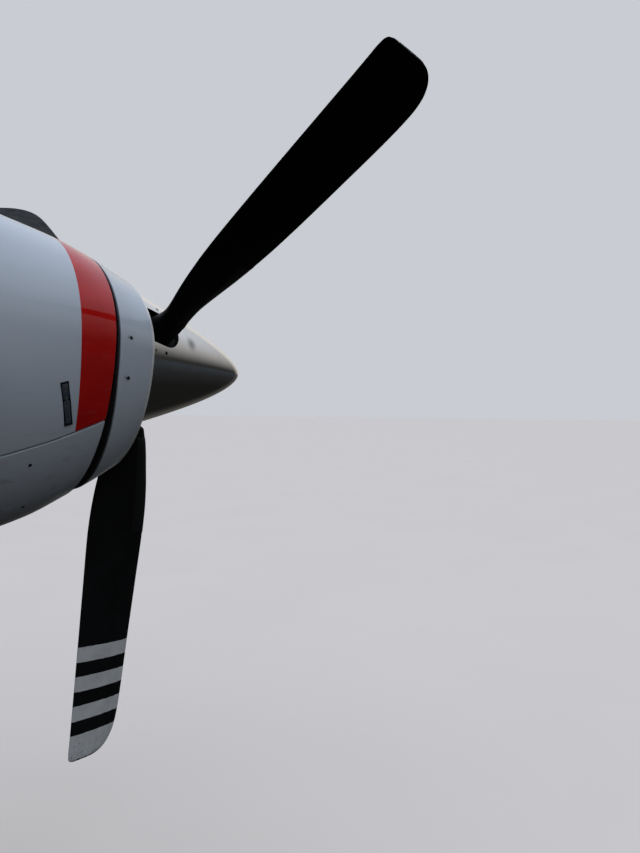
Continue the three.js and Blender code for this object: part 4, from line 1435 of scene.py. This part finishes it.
@dataclass
class Cowls:
    """The spine, the two hinged doors with their latches, and the lower cowl."""

    shop: Workshop
    spine_half: float = 50.0
    door_start: float = 55.0
    band_rear: float = 334.4
    longest: float = 16.0
    edge: float = 1.2
    # How far, in degrees, a face may turn from the form and still be shaded as part of it
    smooth: float = 14.0
    # Columns of cells between each sheet's knot lines, from its top edge down
    spine_columns: tuple[int, ...] = (14,)
    door_columns: tuple[int, ...] = (30, 24)
    lower_columns: tuple[int, ...] = (20, 22, 16, 22, 20)
    # The oil cooler's outlet: station of its front and its rear, and half its width
    oil_outlet: tuple[float, float, float] = (1600.0, 1800.0, 120.0)
    spine_screw_rows: tuple[float, float] = (-38.0, 38.0)
    # Screws of the lower cowl: below the split line, and low down at a height of their own
    edge_screws: tuple[float, ...] = (415.0, 920.0, 1240.0, 1580.0, 1880.0)
    edge_screw_drop: float = 46.0
    low_screws: tuple[float, ...] = (384.5, 880.0)
    low_screw_height: float = -433.0

    def grid(self, stations: Array, turns: Array, hand: int, cells: Array | None = None) -> Shape:
        """A skin over a grid of stations and turns.

        Args:
            stations: the rows' stations.
            turns: the turns along each row, on the port side.
            hand: the side it is made for.
            cells: which cells exist; all when left out.

        Returns:
            The shape.
        """
        station = np.repeat(stations[:, None], turns.shape[1], axis=1)
        flip = np.array([1, hand, 1])
        outer = FORM.point(station, turns) * flip
        inner = FORM.point(station, turns, FORM.skin) * flip
        return Shape().sheet(outer, inner, cells)

    def columns(self, knots: Sequence[Array], counts: Sequence[int]) -> Array:
        """Turns between knot lines, each run of columns evenly spaced.

        Args:
            knots: the turns of each knot line, one for each row.
            counts: how many columns lie between one knot line and the next.

        Returns:
            The turns, row by row.
        """
        runs = []
        for first, second, count in zip(knots, knots[1:], counts):
            share = np.linspace(0, 1, count + 1)[:-1]
            runs.append(first[:, None] + (second - first)[:, None] * share)
        return np.concatenate([*runs, knots[-1][:, None]], axis=1)

    def build(self) -> None:
        """Makes every cowl."""
        banded = GlossEnamel("gloss_white_enamel_red_band", band_rear=self.band_rear).build()
        latches = Latches(self.shop)
        self.build_spine(banded)
        for hand, side in SIDES:
            self.build_door(hand, side, latches, banded)
        self.build_lower()

    def build_spine(self, material: Material) -> None:
        """Makes the fixed strip along the top and its screws.

        Args:
            material: the enamel with the red band.
        """
        stations = joined_steps([FORM.cowl_front, self.band_rear, FORM.cowl_rear], self.longest)
        edge = FORM.turn_at_side(stations, self.spine_half)
        turns = self.columns([edge, math.pi - edge], self.spine_columns)
        spine = self.shop.loose("cowl_spine_skin", self.grid(stations, turns, PORT))
        self.shop.ease(spine, self.edge)
        self.shop.shade(spine, FORM.normal, self.smooth)
        self.shop.deliver(spine, "nacelle", Finish.WHITE, ["cowl_spine"], material)
        places = []
        for station in np.arange(270.0, 1930.0, 90.0):
            for off in self.spine_screw_rows:
                point = FORM.point(station, FORM.turn_at_side(station, off))
                places.append((point, FORM.normal(point)))
        self.shop.part("spine_screws", fastener_shape(places, 4.0, 0.3), "nacelle", Finish.WHITE)

    def build_door(self, hand: int, side: str, latches: Latches, material: Material) -> None:
        """Makes one hinged door, with its latches in their pockets.

        Args:
            hand: STARBOARD or PORT.
            side: the side's name.
            latches: what makes the latches.
            material: the enamel with the red band.
        """
        gap = SPLIT.half_gap
        front, rear = SPLIT.panel_front - gap, SPLIT.panel_rear + gap
        stations = joined_steps([FORM.cowl_front, self.band_rear, front, rear, FORM.cowl_rear], self.longest)
        top = FORM.turn_at_side(stations, self.door_start)
        step = FORM.turn_at_height(stations, SPLIT.panel_top + gap)
        low = FORM.turn_at_height(stations, SPLIT.height(stations) + gap)
        turns = self.columns([top, step, low], self.door_columns)
        middle = (stations[:-1] + stations[1:]) / 2
        column = np.arange(turns.shape[1] - 1)
        cells = np.ones((len(middle), len(column)), bool)
        cells[np.ix_((middle > front) & (middle < rear), column >= self.door_columns[0])] = False
        door = self.shop.loose(f"cowl_door_{side}_skin", self.grid(stations, turns, hand, cells))
        self.shop.ease(door, self.edge)
        for number, station in enumerate(latches.stations, 1):
            self.shop.cut(door, latches.pocket(station, hand))
            latches.build(station, hand, side, number)
        self.shop.shade(door, FORM.normal, self.smooth)
        self.shop.deliver(door, f"door_{side}", Finish.WHITE, [f"cowl_door_{side}"], material)

    def build_lower(self) -> None:
        """Makes the lower cowl, with a hole for each exhaust and the oil cooler's outlet, and its screws."""
        gap = SPLIT.half_gap
        front, rear = SPLIT.panel_front + gap, SPLIT.panel_rear - gap
        out_front, out_rear, out_half = self.oil_outlet
        stops = [FORM.cowl_front, front, rear, out_front, out_rear, FORM.cowl_rear]
        stations = joined_steps(stops, self.longest)
        step = FORM.turn_at_height(stations, SPLIT.panel_top - gap)
        low = FORM.turn_at_height(stations, SPLIT.height(stations) - gap)
        belly = FORM.turn_at_side(stations, out_half, True)
        knots = [step, low, belly, -math.pi - belly, -math.pi - low, -math.pi - step]
        turns = self.columns(knots, self.lower_columns)
        middle = (stations[:-1] + stations[1:]) / 2
        column = np.arange(turns.shape[1] - 1)
        _, side_start, belly_start, belly_end, side_end, _ = np.cumsum([0, *self.lower_columns])
        tabs = (column < side_start) | (column >= side_end)
        outlet = (column >= belly_start) & (column < belly_end)
        cells = np.ones((len(middle), len(column)), bool)
        cells[np.ix_((middle < front) | (middle > rear), tabs)] = False
        cells[np.ix_((middle > out_front) & (middle < out_rear), outlet)] = False
        cowl = self.shop.loose("cowl_lower_skin", self.grid(stations, turns, PORT, cells))
        self.shop.ease(cowl, self.edge)
        for hand in (STARBOARD, PORT):
            self.shop.cut(cowl, Exhausts(self.shop).hole(hand))
        self.shop.shade(cowl, FORM.normal, self.smooth)
        # The lower cowl's streaks are darker than the other cowls', so it is darker again towards the bottom
        belly_enamel = GlossEnamel("gloss_white_enamel_belly", dirt="77746a").build()
        self.shop.deliver(cowl, "nacelle", Finish.WHITE, ["cowl_lower"], belly_enamel)
        rows = [(station, SPLIT.height(station) - self.edge_screw_drop) for station in self.edge_screws]
        rows += [(station, self.low_screw_height) for station in self.low_screws]
        places = [FORM.spot(station, height, hand) for hand in (STARBOARD, PORT) for station, height in rows]
        self.shop.part("lower_cowl_screws", fastener_shape(places, 4.6), "nacelle", Finish.LATCH)


# Engine

@dataclass
class Engine:
    """The engine's case with its flanges, the exhausts' bosses and the accessories' pads."""

    shop: Workshop
    # Columns: station, radius
    profile: Table = (
        (178, 95), (300, 150), (520, 190), (560, 215), (770, 215), (820, 192), (1060, 205), (1110, 228),
        (1500, 228), (1560, 190), (1700, 170))
    flanges: tuple[float, ...] = (300.0, 540.0, 790.0, 1085.0, 1530.0)
    # Degrees from one flange bolt to the next
    bolt_step: float = 15.0
    # Where the exhausts leave: station and height
    exhaust: tuple[float, float] = (650.0, -95.0)
    # Columns: distance off centre, radius
    boss: Table = (
        (60, 0), (60, 78), (222, 78), (222, 84), (231.5, 84), (231.5, 60), (150, 60), (150, 0))
    pad: Table = ((60, 0), (60, 30), (246, 30), (246, 0))
    pad_station: float = 1300.0
    pad_turns: tuple[float, ...] = (45.0, 135.0, 225.0, 315.0)

    def build(self) -> None:
        """Makes the case with its bosses and pads, and its flange bolts."""
        outline = [[self.profile[0][0], 0.0]]
        table = np.array(self.profile, float)
        for (station, radius), (later, wider) in zip(self.profile, self.profile[1:]):
            outline.append([station + 1.0, radius - 2.0])
            outline.append([station + 4.0, radius])
            outline.append([later - 4.0, wider - (wider - radius) * 4.0 / (later - station)])
        outline += [[table[-1, 0], table[-1, 1]], [table[-1, 0], 0.0]]
        case = Shape().turned(outline)
        bolts = Shape()
        for station in self.flanges:
            radius = float(np.interp(station, table[:, 0], table[:, 1])) - 1.0
            case.turned([[station - 5, radius - 30], [station - 5, radius + 7], [station + 5, radius + 7],
                         [station + 5, radius - 30]])
            for turn in np.arange(0, 360, self.bolt_step):
                y, z = radius * math.cos(math.radians(turn)), radius * math.sin(math.radians(turn))
                bolts.turned([[-12, 0], [-12, 5], [12, 5], [12, 0]], 6, start=Vector(place(station, y, z)),
                             along=Vector((1, 0, 0)))
        start = Vector(place(self.exhaust[0], 0.0, self.exhaust[1]))
        for hand in (STARBOARD, PORT):
            case.turned(self.boss, 64, start=start, along=Vector((0, hand, 0)))
        start = Vector(place(self.pad_station, 0, 0))
        for turn in self.pad_turns:
            outward = Vector((0, math.cos(math.radians(turn)), math.sin(math.radians(turn))))
            case.turned(self.pad, 32, start=start, along=outward)
        self.shop.part("engine_case", case, "nacelle", Finish.CASE, ["engine_block"], ease_mm=0.8)
        self.shop.part("engine_flange_bolts", bolts, "nacelle", Finish.STEEL)


@dataclass
class InnerParts:
    """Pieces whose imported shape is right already, which only get their finish, and the oil cooler."""

    shop: Workshop
    finishes: tuple[tuple[str, Finish], ...] = (
        ("nose_frame", Finish.PRIMER), ("intake_duct", Finish.PRIMER), ("engine_mount", Finish.STEEL),
        ("firewall", Finish.STEEL), ("propeller_shaft", Finish.STEEL), ("spinner_backplate", Finish.COOLER))
    fin_pitch: float = 4.0
    # Half of how far every other fin is set up or down the row, so that the core looks corrugated
    fin_sway: float = 0.6
    tube_rows: int = 7

    def build(self) -> None:
        """Finishes the carried-over nodes and makes the oil cooler."""
        for node, finish in self.finishes:
            piece = frame["nodes"][node]
            piece.data.materials.clear()
            piece.data.materials.append(self.shop.materials[finish])
        self.build_cooler()

    def build_cooler(self) -> None:
        """Makes the oil cooler: a core of thin fins and flat tubes between header plates."""
        low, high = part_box("oil_cooler")
        centre = np.array((low + high) / 2)
        half = np.array((high - low) / 2) / MM
        floor = FORM.sizes((HUB_X - low.x) / MM, FORM.skin + 2.0)[2]
        depth = (high.z / MM + float(floor)) / 2
        middle_z = high.z - depth * MM
        shape = Shape()
        for end in (-1, 1):
            shape.block([centre[0], end * (half[1] - 4) * MM, middle_z + 12 * MM], (half[0], 4, depth - 12))
            shape.block([centre[0] + end * (half[0] - 3) * MM, 0, high.z - 20 * MM], (3, half[1] - 8, 20))
        for number, side in enumerate(np.arange(-half[1] + 10, half[1] - 9, self.fin_pitch)):
            sway = self.fin_sway if number % 2 else -self.fin_sway
            fin = (half[0] - 6, 0.5, depth - 12)
            shape.block([centre[0], (side + sway) * MM, middle_z + 8 * MM], fin)
        for level in np.linspace(-depth + 25, depth - 18, self.tube_rows):
            shape.block([centre[0], 0, middle_z + level * MM], (half[0] - 8, half[1] - 8, 1.6))
        self.shop.part("oil_cooler_core", shape, "nacelle", Finish.COOLER, ["oil_cooler"])


# Propeller

def blade_turns() -> list[float]:
    """Each blade's turn about the thrust line from upright, in degrees."""
    return [FIRST_BLADE_TURN + 120.0 * number for number in range(3)]


def blade_direction(turn: float) -> Vector:
    """The direction of a blade at a turn in degrees."""
    return Vector((0, -math.sin(math.radians(turn)), math.cos(math.radians(turn))))


@dataclass
class Spinner:
    """The polished spinner with its blade openings and screws."""

    shop: Workshop
    rear: float = 88.0
    radius: float = 235.0
    nose: float = -418.0
    wall: float = 4.0
    # Powers of the dome's curve: the first blunts its nose, the second fills its middle
    bluntness: float = 0.886
    taper: float = 0.62
    # A blade's opening: radius, and how far ahead of the propeller plane its round end is centred
    cutout: float = 57.0
    cutout_ahead: float = 10.0
    screw: float = 5.4
    small_screw: float = 3.2
    # Columns: station, angle from the blade in degrees, whether it is a small screw
    screw_places: tuple[tuple[float, float, bool], ...] = (
        (-6, 22.2, False), (-6, -22.2, False), (37, -21.8, True))
    # The smudge: station, and angle round the thrust line from port in degrees
    smudge: tuple[float, float] = (-125.0, 158.6)
    rings: int = 90
    sides: int = 180

    def radius_at(self, station: Array, inset: float = 0.0) -> Array:
        """Radius of the dome at stations, drawn in by an inset."""
        share = np.clip((self.rear - station) / (self.rear - self.nose - inset), 0, 1)
        return (self.radius - inset) * (1 - share**self.bluntness) ** self.taper

    def point(self, station: float, way: Vector) -> Vector:
        """The dome's point at a station in a direction square to the thrust line."""
        return Vector((HUB_X - station * MM, 0, 0)) + way * float(self.radius_at(station)) * MM

    def normal(self, points: Array) -> Array:
        """Outward normals near the dome.

        Args:
            points: places in metres.

        Returns:
            The dome's normal at each.
        """
        station = (HUB_X - points[:, 0]) / MM
        span = 0.5
        inside = np.clip(station, self.nose + span + 0.2, self.rear - span)
        slope = (self.radius_at(inside + span) - self.radius_at(inside - span)) / (2 * span)
        outward = unit(points[:, 1:])
        made = unit(np.concatenate([slope[:, None], outward], axis=1))
        near_nose = np.linalg.norm(points[:, 1:], axis=1) < 0.5 * MM
        made[near_nose] = (1, 0, 0)
        return made

    def profile(self, inset: float) -> list[list[float]]:
        """The dome's side from its rim to its nose, in closer steps towards the nose.

        Args:
            inset: how far inside the dome's surface it lies.

        Returns:
            Station and radius of each point.
        """
        length = self.rear - self.nose - inset
        along = np.sin(np.linspace(0, math.pi / 2, self.rings))
        return [[self.rear - length * s, float(self.radius_at(self.rear - length * s, inset))] for s in along]

    def build(self) -> None:
        """Makes the dome, cuts the blade openings and adds the screws."""
        outer, inner = self.profile(0.0), self.profile(self.wall)
        outer[-1][1] = inner[-1][1] = 0.0
        dome = self.shop.loose("spinner_dome_skin", Shape().turned([*outer[::-1], *inner], self.sides))
        places = {False: [], True: []}
        for turn in blade_turns():
            outward = blade_direction(turn)
            self.shop.cut(dome, self.opening(turn))
            across = outward.cross(Vector((1, 0, 0)))
            for station, angle, small in self.screw_places:
                swing = math.radians(angle)
                point = self.point(station, outward * math.cos(swing) + across * math.sin(swing))
                places[small].append((np.array(point), self.normal(np.array([point]))[0]))
        self.shop.shade(dome, self.normal, 16.0)
        station, angle = self.smudge
        swing = math.radians(angle)
        middle = self.point(station, Vector((0, math.cos(swing), math.sin(swing))))
        polish = PolishedAluminium(stains=(Stain(tuple(middle), (30, 46, 30), 0.7),)).build()
        self.shop.deliver(dome, "propeller", Finish.SPINNER, ["spinner_dome"], polish)
        sets = (("spinner_screws", False, self.screw), ("spinner_set_screws", True, self.small_screw))
        for name, small, radius in sets:
            self.shop.part(name, fastener_shape(places[small], radius), "propeller", Finish.LATCH)

    def opening(self, turn: float) -> Shape:
        """The cutter for one blade: a round hole and the slot from it to the rim.

        Args:
            turn: the blade's turn in degrees.

        Returns:
            The shape.
        """
        angles = np.linspace(-math.pi / 2, math.pi / 2, 40)
        behind = self.rear + 5
        stations = [-self.cutout_ahead - self.cutout * math.cos(a) for a in angles] + [behind, behind]
        sides = [self.cutout * math.sin(a) for a in angles] + [self.cutout, -self.cutout]
        outward = np.array(blade_direction(turn))
        across = np.cross(outward, [1.0, 0, 0])
        base = place(np.array(stations), 0.0, 0.0) + np.outer(sides, across) * MM
        loops = [base + outward * reach * MM for reach in (90.0, 300.0)]
        return Shape().ring(loops, closed=False)


@dataclass
class Hub:
    """The propeller hub seen through the spinner's openings, with a clamp round each blade's shank."""

    shop: Workshop
    # Columns: station, radius
    barrel: Table = ((-62, 0), (-62, 80), (-56, 88), (68, 88), (72, 84), (72, 0))
    # Columns: distance from the hub's centre, radius
    arm: Table = (
        (60, 0), (60, 62), (150, 62), (151, 65), (164, 65), (166, 63), (166, 45.7), (72, 45.7), (72, 0))

    def build(self) -> None:
        """Makes the hub's barrel and arms."""
        shape = Shape().turned(self.barrel)
        for turn in blade_turns():
            shape.turned(self.arm, 64, start=Vector((HUB_X, 0, 0)), along=blade_direction(turn))
        # The hub's steel is made near black as painted shade, standing in for the dark inside of the spinner
        shade_dark_steel = Metalwork("shade_darkened_hub_steel", "191a1b", "111213", 0.5, 0.8).build()
        self.shop.part("propeller_hub_barrel", shape, "propeller", Finish.STEEL, ["propeller_hub"],
                       0.5, shade_dark_steel)


@dataclass
class Blades:
    """Three wide blades at feather, each with a rubber boot on its leading edge."""

    shop: Workshop
    # Columns: radius, leading edge ahead, trailing edge behind, camber height, face depth, fullness
    sections: Table = (
        (70.3, 45, 45, 45, 45, 0), (196, 45, 45, 45, 45, 0), (208, 59, 46, 42, 40, 0.05),
        (230, 64, 46, 38, 36, 0.08), (262, 70, 50, 32, 26, 0.15), (330, 78, 60, 26, 16, 0.22),
        (400, 86, 73, 23, 10, 0.3), (480, 91, 83, 20.5, 6, 0.33), (560, 92, 88.5, 18.5, 4, 0.35),
        (725, 88.5, 92, 15, 3, 0.35), (900, 83, 95, 11.5, 3, 0.35), (1075, 77.5, 98, 9, 2.5, 0.3),
        (1150, 71.5, 99.5, 7.5, 2.5, 0.3), (1188, 63, 100.5, 7, 2.5, 0.3), (1217, 48.5, 101.5, 6.5, 2.5, 0.3),
        (1235, 32, 100.5, 6, 2.5, 0.3), (1245, 15.5, 96, 5, 2.5, 0.2), (1250, -2, 84, 4, 2.5, 0.2))
    # Columns: radius, angle between the chord and the propeller plane in degrees
    twist: Table = (
        (250, 112), (300, 110), (350, 106), (420, 101.3), (520, 96), (650, 90.3), (800, 86), (1000, 81.6),
        (1250, 77))
    around: int = 64
    # The boot: radius where it starts and ends, and share of the half turn that it reaches each way
    boot: tuple[float, float, float] = (236.0, 545.0, 0.34)
    boot_proud: float = 1.1
    boot_sunk: float = 0.8

    def surface(self, radius: Array, turn: Array, grow: float = 0.0) -> Array:
        """Points of an upright blade.

        Args:
            radius: their radii.
            turn: their turns round the section, 0 at the leading edge.
            grow: how far they stand off the surface.

        Returns:
            The points, in metres from the hub's centre.
        """
        table = np.array(self.sections, float)
        ahead, behind, camber, face, fullness = (
            FairLine(table[:, 0], table[:, column]).at(radius) for column in range(1, 6))
        angle = np.radians(FairLine(*np.array(self.twist, float).T).at(radius))
        chord = (ahead - behind) / 2 + ((ahead + behind) / 2 + grow) * np.cos(turn)
        depth = np.where(np.sin(turn) >= 0, camber, face) + grow
        thickness = depth * np.sin(turn) * (1 + fullness * np.cos(turn))
        x = chord * np.sin(angle) + thickness * np.cos(angle)
        y = thickness * np.sin(angle) - chord * np.cos(angle)
        return np.stack([x, y, radius + 0 * turn], axis=-1) * MM

    def radii(self) -> Array:
        """Radii of the rings, closer at the root and the tip."""
        return np.concatenate([[70.3, 190.0], steps(196, 262, 4), steps(272, 1130, 13), steps(1136, 1236, 5),
                               steps(1238, 1250, 1.2)])

    def build(self) -> None:
        """Makes the three blades and their boots."""
        boot_rubber = WeatheredRubber("de_icing_boot_neoprene", "090a0a", "121313", 0.4).build()
        around = np.linspace(0, 2 * math.pi, self.around, endpoint=False)
        radius, turns = np.meshgrid(self.radii(), around, indexing="ij")
        loops = self.surface(radius, turns)
        values = {"span_mm": radius.ravel(), "camber": (np.sin(turns) > 0.001).astype(float).ravel(),
                  "chord": np.cos(turns).ravel()}
        front, end, reach = self.boot
        across = np.linspace(-math.pi * reach, math.pi * reach, 31)
        grid = np.meshgrid(steps(front, end, 12), across, indexing="ij")
        outer, inner = self.surface(*grid, self.boot_proud), self.surface(*grid, -self.boot_sunk)
        hub = np.array([HUB_X, 0, 0])
        for number, (turn, body) in enumerate(zip(blade_turns(), BLADE_BODIES), 1):
            spin = np.array(Matrix.Rotation(math.radians(turn), 3, "X")).T
            skin = Shape().ring(loops @ spin + hub, closed=False)
            skin.values = {name: [numbers] for name, numbers in values.items()}
            self.shop.part(f"blade_{number}_skin", skin, body, Finish.BLADE, [f"blade_{number}"])
            rubber = Shape().sheet(outer @ spin + hub, inner @ spin + hub)
            self.shop.part(f"blade_{number}_boot", rubber, body, Finish.RUBBER, ease_mm=0.3,
                           material=boot_rubber)


# Floor, light and camera

@dataclass(frozen=True)
class Studio:
    """A pale floor 1.7 m below the thrust line, under soft light."""

    floor_height: float = -1.70
    floor_reach: float = 400.0
    floor_colour: str = "eee4da"
    floor_shade: str = "e8dfd6"
    backdrop: str = "c9ccd2"
    # Direction from which the dome is brightest, seen from the nacelle: ahead and to port
    bright_side: tuple[float, float, float] = (0.69, 0.72, 0.05)
    glow: float = 0.5
    glow_colour: str = "fff6ea"
    # The dome's and the floor's upright: the thrust line points a little below their horizon
    upright: tuple[float, float, float] = (-0.0581, -0.0211, 0.998)
    strength: float = 1.25
    # Light by elevation: a dim lower half, a dark line at the horizon and a brightening, bluer upper half.
    # Columns: degrees above the horizon, colour
    light: tuple[tuple[float, str], ...] = (
        (-90, "101010"), (-25, "181818"), (-10, "262729"), (-1, "31363c"), (1, "2b2b2c"), (4, "2d2d2d"),
        (10, "646464"), (20, "9c9c9d"), (38, "cdd5e3"), (90, "d7e4f8"))

    def build(self) -> None:
        """Makes the floor and the light dome."""
        reach = self.floor_reach / MM
        shape = Shape().turned([[0, 0], [0, reach], [40, reach], [40, 0]], 64,
                               start=Vector((1.0, 0, self.floor_height)), along=-Vector(self.upright))
        mesh = shape.mesh("studio_floor")
        floor = bpy.data.objects.new("studio_floor", mesh)
        bpy.context.scene.collection.objects.link(floor)
        p = Painter("matt_studio_floor")
        clouds = p.patches((900, 900, 900), 0.3, 0.7, 0.0, 0.3)
        tone = p.add("Mix", {0: clouds, 6: linear(self.floor_colour), 7: linear(self.floor_shade)})
        mesh.materials.append(p.finish(Base_Color=tone, Roughness=0.9))
        # The floor is a backdrop, so it neither shows in the polished metal nor lights the belly
        floor.visible_glossy = False
        floor.visible_diffuse = False
        self.build_dome()

    def build_dome(self) -> None:
        """Makes the soft dome, bright above, brighter ahead and dark below, behind a plain pale backdrop."""
        world = bpy.data.worlds.new("studio_dome")
        bpy.context.scene.world = world
        world.use_nodes = True
        world.node_tree.nodes.clear()
        add = partial(add_node, world.node_tree)
        way = add("TexCoord", output="Generated")
        height = add("VectorMath", [way, list(self.upright)], "Value", operation="DOT_PRODUCT")
        angle = add("Math", [height], operation="ARCSINE")
        share = add("MapRange", [angle, -math.pi / 2, math.pi / 2], interpolation_type="LINEAR")
        ramp = add("ValToRGB", [share])
        stops = ramp.node.color_ramp.elements
        for degrees, colour in self.light[1:-1]:
            stops.new(degrees / 180 + 0.5).color = linear(colour)
        stops[0].color, stops[-1].color = linear(self.light[0][1]), linear(self.light[-1][1])
        even = add("VectorMath", {0: ramp, "Scale": self.strength}, operation="SCALE")
        # The glow lies round the bright side, and little of it reaches below the horizon
        bright = list(Vector(self.bright_side).normalized())
        toward = add("VectorMath", [way, bright], "Value", operation="DOT_PRODUCT")
        near = add("MapRange", [toward, 0.8, 1.0, 0.0, self.glow])
        above = add("MapRange", [height, -0.01, 0.05, 0.15, 1.0], interpolation_type="LINEAR")
        amount = add("Math", [near, above])
        glow = add("VectorMath", {0: linear(self.glow_colour)[:3], "Scale": amount}, operation="SCALE")
        lit = add("VectorMath", [even, glow], operation="ADD")
        seen = add("LightPath", output="Is Camera Ray")
        colour = add("Mix", {0: seen, 6: lit, 7: linear(self.backdrop)})
        back = add("Background", {"Color": colour, "Strength": 1.0})
        add("OutputWorld", {"Surface": back})
        view = bpy.context.scene.view_settings
        view.view_transform = "Standard"
        view.look = "None"


@dataclass(frozen=True)
class Photographer:
    """The camera, behind and beside the nacelle on the starboard side, as found from the photograph."""

    place: tuple[float, float, float] = (0.8469, -2.0221, -0.2668)
    forward: tuple[float, float, float] = (0.69164, 0.72124, 0.03801)
    up: tuple[float, float, float] = (-0.05487, 0.0, 0.99849)
    focal_pixels: float = 710.0
    sensor_mm: float = 36.0

    def build(self) -> None:
        """Makes the camera and gives it to the scene."""
        data = bpy.data.cameras.new("photo_camera")
        data.sensor_width = self.sensor_mm
        data.lens = self.focal_pixels / IMAGE_HEIGHT * self.sensor_mm
        data.clip_start, data.clip_end = 0.05, 1500.0
        camera = bpy.data.objects.new("photo_camera", data)
        bpy.context.scene.collection.objects.link(camera)
        back = -Vector(self.forward).normalized()
        across = Vector(self.up).cross(back).normalized()
        upward = back.cross(across)
        turn = Matrix((across, upward, back)).transposed().to_4x4()
        camera.matrix_world = Matrix.Translation(Vector(self.place)) @ turn
        bpy.context.scene.camera = camera


def finishes() -> dict[Finish, Material]:
    """Makes the finishes' usual materials.

    Returns:
        One for every finish but the spinner's, whose stains the spinner places itself.
    """
    primer = Metalwork("zinc_chromate_primer", "7d8a57", "6f7b4e", 0.6, 0.0, 90.0, 0.35)
    cooler = Metalwork("mill_finish_aluminium", "b4b6b8", "9c9ea0", 0.35, 1.0, 40.0, 0.25)
    case = Metalwork("cast_magnesium_case", "8d9089", "787b75", 0.55, 0.5, 60.0, 0.35, 0.12)
    steel = Metalwork("satin_tube_steel", "8b8d8f", "76787a", 0.4, 1.0, 35.0, 0.35)
    latch = Metalwork("oxidised_latch_steel", "1b1d1f", "121314", 0.6, 0.0, 12.0, 0.4, 0.03, 0.15)
    usual = {
        Finish.WHITE: GlossEnamel(), Finish.RUBBER: WeatheredRubber(), Finish.PRIMER: primer,
        Finish.COOLER: cooler, Finish.CASE: case, Finish.EXHAUST: HeatTintedSteel(), Finish.STEEL: steel,
        Finish.LATCH: latch, Finish.BLADE: StripedBladePaint()}
    return {finish: look.build() for finish, look in usual.items()}


def main() -> None:
    """Builds the studio and then every sub-assembly."""
    logging.basicConfig(level=logging.INFO, format="%(message)s")
    Photographer().build()
    Studio().build()
    shop = Workshop(finishes())
    for assembly in (NoseRing, Cowls, Hinges, Exhausts, Engine, InnerParts, Spinner, Hub, Blades):
        assembly(shop).build()
    LOG.info("%d pieces", len(shop.made))


if __name__ == "__main__":
    main()
